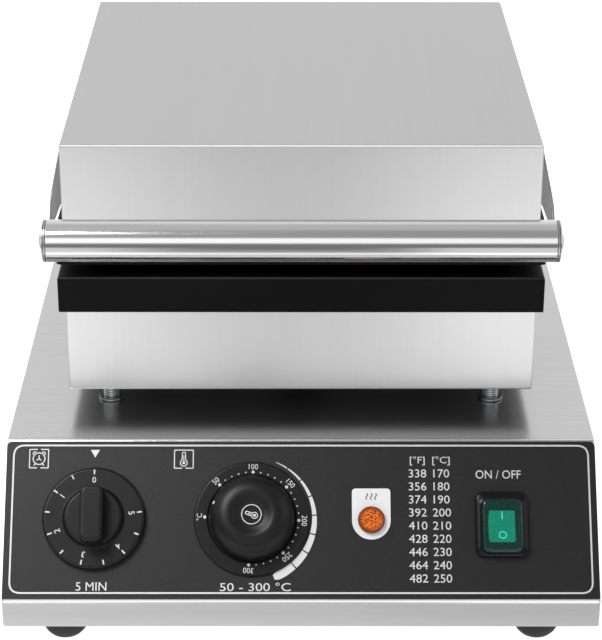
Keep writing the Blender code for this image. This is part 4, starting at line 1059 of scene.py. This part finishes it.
class WAFFLE_OT_timer(bpy.types.Operator):
    """Timer knob with its skirt, bar grip and minute figures"""
    bl_idname = "waffle.timer"
    bl_label = "Timer knob"

    def execute(self, context):
        place = on_panel(timer_spot)
        # Profiles of (radius, height) for the skirt and (inset, height) for the grip's side
        skirt = [(0, 0.0020), (0.0277, 0.0020), (0.0277, 0.0042), (0.0264, skirt_top),
                 (0.0166, skirt_top), (0.0150, 0.0087), (0, 0.0087)]
        disc = turned(eased(skirt, (0, 0.0003, 0.0010, 0.0006, 0.0006, 0.0010, 0)), 128)
        grip_side = [(0, 0.0050), (0.0001, 0.0125), (0.0003, 0.0175), (0.0007, 0.0187),
                     (0.0014, 0.0193), (0.0024, 0.0195)]
        grip = slab(0.0066, 0.0154, 0.0040, grip_side)
        add_piece("timer_knob_body", (disc + grip).placed(place), knob_plastic(), "timer_dial",
                  ("timer_knob",))
        low, high = flat_ink(skirt_top)
        tick_start, tick_end, tick_width = 0.0236, 0.0262, 0.00075
        figure_ring, figure_tall, thicker = 0.0206, 0.0032, 0.004
        tick = stroke([(0, tick_start), (0, tick_end)], tick_width, low, high)
        parts = []
        for half_minutes in range(11):
            spot = Matrix.Rotation(half_minute * half_minutes, 4, "Z")
            parts.append(tick.placed(spot))
            if half_minutes % 2 == 0:
                digit = lettering(str(half_minutes // 2), figure_tall, low, high, bold=thicker)
                parts.append(digit.placed(spot @ Matrix.Translation((0, figure_ring, 0))))
        add_print("print_minutes", parts, place, "timer_dial")
        recoat(plated(), "timer_body", "timer_shaft")
        recoat(zinc("bell_brass", chosen("metal").brass_colour, roughness=0.25), "timer_bell")
        return {"FINISHED"}


class WAFFLE_OT_thermostat(bpy.types.Operator):
    """Thermostat number ring and domed knob"""
    bl_idname = "waffle.thermostat"
    bl_label = "Thermostat knob"

    def execute(self, context):
        place = on_panel(thermostat_spot)
        ring = [(0.0042, 0.0011), (0.0312, 0.0011), (0.0312, 0.0023), (0.0304, bezel_top),
                (0.0240, bezel_top), (0.0234, 0.0021), (0.0042, 0.0021)]
        reach = (0.0001, 0.0002, 0.0007, 0.0006, 0.0004, 0.0001, 0.0001)
        add_piece("number_ring", turned(eased(ring, reach, 5, True), 128, True).placed(place),
                  knob_plastic(), "base", ("thermostat_bezel",))

        # The dome is a quarter ellipse, and the dish's side a smooth step down to its floor
        dome_middle, dome_base = 0.0124, 0.0067
        dome_reach, dome_rise = 0.0104, 0.0095
        dish_radius, dish_floor, dish_depth = 0.0062, 0.0146, 0.0016
        share = np.linspace(0, 1, 15)
        dome = np.column_stack((dome_middle + dome_reach * np.cos(share * pi / 2),
                                dome_base + dome_rise * np.sin(share * pi / 2)))
        rise = np.linspace(1, 0, 13)[1:]
        dish = np.column_stack((dish_radius + dish_radius * rise,
                                dish_floor + dish_depth * rise ** 2 * (3 - 2 * rise)))
        profile = np.vstack(([(0, 0.0027), (0.0228, 0.0027), (0.0228, 0.0060)], dome, dish,
                             [(0, dish_floor)]))
        add_piece("thermostat_knob_body", turned(profile, 128).placed(place), knob_plastic(),
                  "thermostat_dial", ("thermostat_knob",), angle=40)

        low, high = flat_ink(bezel_top)
        dot_ring, figure_ring, figure_tall = 0.0253, 0.0283, 0.0029
        dot, small_dot = (prism(circle_path(radius, steps, dot_ring), low, high)
                          for radius, steps in ((0.00085, 16), (0.00042, 12)))
        figures = ("°C", "50", "100", "150", "200", "250", "300")
        angles = np.radians((178.4, 133.7, 88.6, 42.5, -2.6, -48.0, -93.6)) - pi / 2
        parts = []
        for k, (text, angle) in enumerate(zip(figures, angles)):
            spot = Matrix.Rotation(angle, 4, "Z")
            figure = lettering(text, figure_tall, low, high, squeeze=0.95)
            parts += [dot.placed(spot),
                      figure.placed(spot @ Matrix.Translation((0, figure_ring, 0)))]
            if 0 < k < len(figures) - 1:
                parts += [small_dot.placed(Matrix.Rotation(between, 4, "Z"))
                          for between in np.linspace(angle, angles[k + 1], 6)[1:-1]]
        add_print("print_degrees", parts, place)

        low, high = flat_ink(dish_floor)
        badge_radius, badge_line = 0.0052, 0.00042
        badge = (stroke(circle_path(badge_radius), badge_line, low, high, True)
                 + thermometer(0.0068, 0.00045, low, high))
        lean = radians(30)
        slope = atan2(dome_reach * sin(lean), dome_rise * cos(lean))
        seat = (Matrix.Translation((0, dome_middle + dome_reach * cos(lean),
                                    dome_base + dome_rise * sin(lean)))
                @ Matrix.Rotation(-(pi / 2 - slope), 4, "X"))
        pointer_radius = 0.0009
        pointer = prism(circle_path(pointer_radius, 16), 0, 2 * chosen("bright").ink_thick)
        turn = Matrix.Rotation(knob_turn - pi / 2, 4, "Z")
        add_print("print_knob_marks", [badge.placed(turn), pointer.placed(turn @ seat)], place,
                  "thermostat_dial")
        recoat(plated(), "thermostat_body", "thermostat_shaft", "capillary_tube", "sensing_bulb")
        return {"FINISHED"}


class WAFFLE_OT_lamp(bpy.types.Operator):
    """Indicator lamp and its label"""
    bl_idname = "waffle.lamp"
    bl_label = "Lamp"

    def execute(self, context):
        place = on_panel(lamp_spot)
        half, tall, corner = 0.0104, 0.0174, 0.0022
        label_low, label_high, mark_up = 0.0011, 0.0015, 0.0130
        upper = eased([(half, 0), (half, tall), (-half, tall), (-half, 0)], corner, 6)[1:-1]
        outline = np.vstack((arc_path(half, pi, 2 * pi, 33), upper))
        add_piece("lamp_label_plate", prism(outline, label_low, label_high).placed(place),
                  ink("label_white", chosen("bright").label_colour, roughness=0.35), "base",
                  ("lamp_label",))
        add_print("print_lamp_mark", [heat_symbol(*flat_ink(label_high))],
                  place @ Matrix.Translation((0, mark_up, 0)),
                  coat=ink("black_ink", (0.02, 0.02, 0.02, 1)))

        # The lens is a shallow paraboloid less three crossed sine ridges, above a short wall
        lens_radius, lens_low, lens_high, crown = 0.0062, 0.0030, 0.0043, 0.0004
        ridge, ridge_wave, slant = 0.00022, 850, 1.732
        steps, rows = 96, 40
        share = np.linspace(0, 1, rows)[:, None]
        angle = np.linspace(0, 2 * pi, steps, endpoint=False)[None, :]
        radius = lens_radius * (1 - share) + 0 * angle
        x, y = radius * np.cos(angle), radius * np.sin(angle)
        waves = (2 * x, x + slant * y, x - slant * y)
        facets = ridge * sum(np.abs(np.sin(wave * ridge_wave)) for wave in waves)
        z = (lens_high + crown * (1 - (radius / lens_radius) ** 2)
             - facets * np.clip(share * 8, 0, 1))
        wall = np.stack((x[0], y[0], np.full(steps, lens_low)), axis=-1)
        lens = skin(np.concatenate((wall[None], np.stack((x, y, z), axis=-1))))
        amber = chosen("bright").amber_colour
        centre = tuple(on_panel(lamp_spot, lens_high).translation)
        add_piece("lamp_lens_glass", lens.placed(place), amber_glass("amber_glass", amber, centre),
                  "base", ("lamp_lens",), angle=24)
        rim = [(0.0061, 0.0020), (0.0073, 0.0020), (0.0073, 0.0036), (0.0070, 0.0043),
               (0.0065, 0.0046), (0.0061, 0.0043)]
        add_piece("lamp_lens_rim", turned(eased(rim, 0.0002, 3, True), 96, True).placed(place),
                  amber_glass("amber_rim", shade(amber, 0.9), centre, glow=0.0), "base")
        recoat(knob_plastic(), "lamp_body", "lamp_nut")
        return {"FINISHED"}


class WAFFLE_OT_switch(bpy.types.Operator):
    """Power switch: frame, see-through splash cover and lit rocker"""
    bl_idname = "waffle.switch"
    bl_label = "Power switch"

    def execute(self, context):
        place = on_panel(switch_spot)
        # Each ring is a half width, half height, corner, middle and height
        wide, tall = 0.0144, 0.01785
        lip = [(wide - inset, tall - inset, corner, cover_rise, z) for inset, corner, z in (
            (0, 0.0045, 0.0011), (0, 0.0045, 0.0026), (0.0002, 0.0043, 0.0033),
            (0.0007, 0.0040, 0.0039), (0.0015, 0.0038, 0.0042))]
        flange = [(wide - 0.0044, tall - 0.0044, 0.0028, 0.0, 0.0012), *lip,
                  (wide - 0.0024, tall - 0.0024, 0.0040, 0.0009, 0.0044),
                  (0.0113, 0.0150, 0.0043, 0.0, 0.0049), (0.0111, 0.0148, 0.0041, 0.0, 0.0054),
                  (0.0105, 0.0142, 0.0035, 0.0, 0.0054), (0.0101, 0.0138, 0.0032, 0.0, 0.0040)]
        add_piece("switch_frame", skin(rectangles(flange), True).placed(place), glossy_frame(),
                  "base", angle=50)
        dome = [(half, half + 0.0037, corner, 0, z) for half, corner, z in (
            (0.0084, 0.0026, 0.0075), (0.0092, 0.0028, 0.0073), (0.0098, 0.0031, 0.0067),
            (0.0100, 0.0032, 0.0055), (0.0110, 0.0040, 0.0055), (0.0110, 0.0040, 0.0069),
            (0.0108, 0.0039, 0.0076), (0.0104, 0.0037, 0.0081), (0.0099, 0.0034, 0.0084),
            (0.0090, 0.0030, 0.0085))]
        add_piece("switch_cover", skin(rectangles(dome)).placed(place),
                  clear_green("splash_cover", chosen("bright").cover_green), "base",
                  ("switch_boot",), angle=50)
        recoat(knob_plastic(), "switch_body")
        add_softened("rocker_paddle", "switch_rocker",
                     lit_green("lit_rocker", chosen("bright").rocker_green), "power_rocker",
                     bevel=0.0004)

        # The marks lie on the two slopes of the rocker's hollow face, which meet over its axis
        low, high = flat_ink(0)
        meeting_height, line_start, line_end = 0.0030, 0.0036, 0.0080
        ring_radius, ring_down, line_width = 0.0019, 0.0054, 0.0005
        tilted = (place @ Matrix.Translation((0, 0, rocker_axis_height))
                  @ Matrix.Rotation(-rocker_tilt, 4, "X")
                  @ Matrix.Translation((0, 0, meeting_height)))
        slope = atan2(sin(rocker_tilt), cos(rocker_tilt) * rocker_side_share)
        line = stroke([(0, line_start), (0, line_end)], line_width, low, high)
        ring = stroke(circle_path(ring_radius, 40, -ring_down), line_width, low, high, True)
        add_print("print_rocker_marks", [line.placed(tilted @ Matrix.Rotation(slope, 4, "X")),
                                         ring.placed(tilted @ Matrix.Rotation(-slope, 4, "X"))],
                  body="power_rocker",
                  coat=lit_green("lit_marks", (0.95, 1.0, 0.98, 1.0), glow=9.0))
        return {"FINISHED"}


# ----------------------------------------
# Heads, handle and hinge


class WAFFLE_OT_heads(bpy.types.Operator):
    """Covers and cast moulds of both heads"""
    bl_idname = "waffle.heads"
    bl_label = "Heads"

    def execute(self, context):
        for kind, coat, slot, edge in (("cover", cover_sheet(), "polished_steel", 0.0),
                                       ("mould", iron_coat(), "coated_mould", 0.0006)):
            for head, body in (("lower", "base"), ("upper", "lid")):
                add_softened(f"{head}_head_{kind}", f"{head}_{kind}", coat, body, edge)
        return {"FINISHED"}


def threaded_stud(tall, seat):
    """A screw thread with a collar on its seat, as rings of points (r cos u, r sin u, z).

    In the thread r is the core's radius plus a share of the depth that rises and falls once in
    each pitch of z less the share of a turn that u has made.
    """
    core, depth, pitch, spacing = 0.0041, 0.0004, 0.00125, 0.00025
    collar_thick, collar_radius, ease = 0.0012, 0.0071, 0.0002
    z = np.concatenate((np.arange(0, seat - ease, spacing),
                        np.arange(seat + 0.0016, tall - 0.0004, spacing)))[:, None]
    angle = np.linspace(0, 2 * pi, 36, endpoint=False)[None, :]
    wave = np.abs(((z / pitch - angle / (2 * pi)) % 1) * 2 - 1)
    collar = np.array([(core, 0), (collar_radius - ease, 0), (collar_radius, ease),
                       (collar_radius, collar_thick - ease), (collar_radius - ease, collar_thick),
                       (core, collar_thick)]) + (0, seat)
    thread, band = (
        np.stack((radius * np.cos(angle), radius * np.sin(angle), height + 0 * angle), axis=-1)
        for radius, height in ((core + depth * wave, z), (collar[:, :1], collar[:, 1:])))
    cut = int((z[:, 0] < seat).sum())
    return skin(np.concatenate((thread[:cut], band, thread[cut:])))


class WAFFLE_OT_posts(bpy.types.Operator):
    """Studs that carry the lower head, their nuts and the wire duct"""
    bl_idname = "waffle.posts"
    bl_label = "Posts"

    def execute(self, context):
        coat = zinc("stud_zinc", shade(chosen("metal").zinc_colour, 0.7), roughness=0.2)
        for corner in quarters:
            low, high, middle = extent(f"post_{corner}")
            stud = threaded_stud(high.z - low.z, shell_high.z - low.z + 0.0003)
            add_piece(f"threaded_post_{corner}",
                      stud.placed(Matrix.Translation((middle.x, middle.y, low.z))),
                      coat, "base", (f"post_{corner}",), angle=60)
            add_softened(f"hex_nut_{corner}", f"post_nut_{corner}", plated(), "base",
                         bevel=0.0004)
        add_softened("duct_sleeve", "wire_duct", plated(), "base", bevel=0.0003)
        return {"FINISHED"}


class WAFFLE_OT_handle(bpy.types.Operator):
    """Tube handle with its arms, end caps and screws"""
    bl_idname = "waffle.handle"
    bl_label = "Handle"

    def execute(self, context):
        low, high, middle = extent("handle_tube")
        radius = (high.z - low.z) / 2
        half = (high.x - low.x) / 2
        bore = radius - 0.0014
        wall = [(bore, -half), (radius, -half), (radius, half), (bore, half)]
        tube = turned(eased(wall, 0.0002, 3, True), 128, True)
        lie = Matrix.Translation(middle) @ Matrix.Rotation(pi / 2, 4, "Y")
        made = [add_piece("handle_grip_tube", tube.placed(lie), polished_bar(), "lid",
                          ("handle_tube",))]
        # An end cap is a flat ring with a domed face, (hole + r cos u, edge + rise sin u)
        hole, edge, rise, cap_place = 0.0024, 0.0003, 0.0011, 0.1333
        share = np.linspace(0, pi / 2, 9)[1:]
        dome = np.column_stack((hole + (radius - hole) * np.cos(share),
                                edge + rise * np.sin(share)))
        cap = turned(np.vstack(([(hole, 0), (radius, 0), (radius, edge)], dome)), 96, True)
        for sign, side in ((-1, "left"), (1, "right")):
            out = (Matrix.Translation((sign * cap_place, middle.y, middle.z))
                   @ Matrix.Rotation(sign * pi / 2, 4, "Y"))
            made += [
                add_softened(f"handle_bracket_{side}", f"handle_arm_{side}", arm_sheet(), "lid",
                             bevel=0.0002),
                add_piece(f"handle_end_cap_{side}", cap.placed(out), polished_bar(), "lid",
                          (f"handle_cap_{side}",), angle=50),
                add_softened(f"handle_end_screw_{side}", f"handle_screw_{side}", plated(), "lid",
                             bevel=0.0001)]
        # The lid's drawn front shows no mirror image of the handle
        for piece in made:
            piece.visible_glossy = False
        return {"FINISHED"}


class WAFFLE_OT_hinge(bpy.types.Operator):
    """Hinge brackets, lid ears, rod and nuts"""
    bl_idname = "waffle.hinge"
    bl_label = "Hinge"

    def execute(self, context):
        pieces = [(f"{name}_{side}", f"{node}_{side}", body)
                  for side in ("left", "right")
                  for name, node, body in (("hinge_plate", "hinge_bracket", "base"),
                                           ("lid_plate", "lid_ear", "lid"),
                                           ("rod_nut", "hinge_nut", "base"))]
        for name, node, body in pieces + [("hinge_axle", "hinge_rod", "base")]:
            add_softened(name, node, plated(), body, bevel=0.0004)
        return {"FINISHED"}


class WAFFLE_OT_insides(bpy.types.Operator):
    """Finishes of the pieces inside"""
    bl_idname = "waffle.insides"
    bl_label = "Inside pieces"

    def execute(self, context):
        recoat(zinc("sheath_metal", (0.16, 0.145, 0.13, 1), roughness=0.5), "lower_heater",
               "upper_heater")
        recoat(plated(), "lower_heater_clamp", "upper_heater_clamp", "thermal_cutout")
        recoat(fibre("insulating_fibre", (0.75, 0.73, 0.68, 1)), "lower_insulation",
               "upper_insulation")
        return {"FINISHED"}


# ----------------------------------------
# Sidebar, registration and the run


class WAFFLE_PT_looks(bpy.types.Panel):
    """Settings, and a button for each group of pieces"""
    bl_idname = "WAFFLE_PT_looks"
    bl_label = "Waffle iron"
    bl_space_type = "VIEW_3D"
    bl_region_type = "UI"
    bl_category = "Waffle iron"

    def draw(self, context):
        for name, kind in settings_groups:
            box = self.layout.box()
            for setting in kind.__annotations__:
                box.prop(getattr(context.scene, name), setting)
        for operator in operators:
            self.layout.operator(operator.bl_idname)


settings_groups = (("waffle_stage", StageSettings), ("waffle_metal", MetalSettings),
                   ("waffle_dark", DarkSettings), ("waffle_bright", BrightSettings))
operators = (WAFFLE_OT_stage, WAFFLE_OT_housing, WAFFLE_OT_panel, WAFFLE_OT_timer,
             WAFFLE_OT_thermostat, WAFFLE_OT_lamp, WAFFLE_OT_switch, WAFFLE_OT_heads,
             WAFFLE_OT_posts, WAFFLE_OT_handle, WAFFLE_OT_hinge, WAFFLE_OT_insides)


def register():
    """Register the settings, operators and sidebar panel."""
    for name, kind in settings_groups:
        bpy.utils.register_class(kind)
        setattr(bpy.types.Scene, name, PointerProperty(type=kind))
    for operator in operators:
        bpy.utils.register_class(operator)
    bpy.utils.register_class(WAFFLE_PT_looks)


def unregister():
    """Take all of it back out."""
    bpy.utils.unregister_class(WAFFLE_PT_looks)
    for operator in reversed(operators):
        bpy.utils.unregister_class(operator)
    for name, kind in reversed(settings_groups):
        delattr(bpy.types.Scene, name)
        bpy.utils.unregister_class(kind)


def corners(box):
    """A box's two corners as plain lists."""
    return [list(corner) for corner in box]


def main():
    """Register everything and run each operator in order."""
    register()
    for step in (bpy.ops.waffle.stage, bpy.ops.waffle.housing, bpy.ops.waffle.panel,
                 bpy.ops.waffle.timer, bpy.ops.waffle.thermostat, bpy.ops.waffle.lamp,
                 bpy.ops.waffle.switch, bpy.ops.waffle.heads, bpy.ops.waffle.posts,
                 bpy.ops.waffle.handle, bpy.ops.waffle.hinge, bpy.ops.waffle.insides):
        step()
    bpy.context.view_layer.update()


if __name__ == "__main__":
    main()
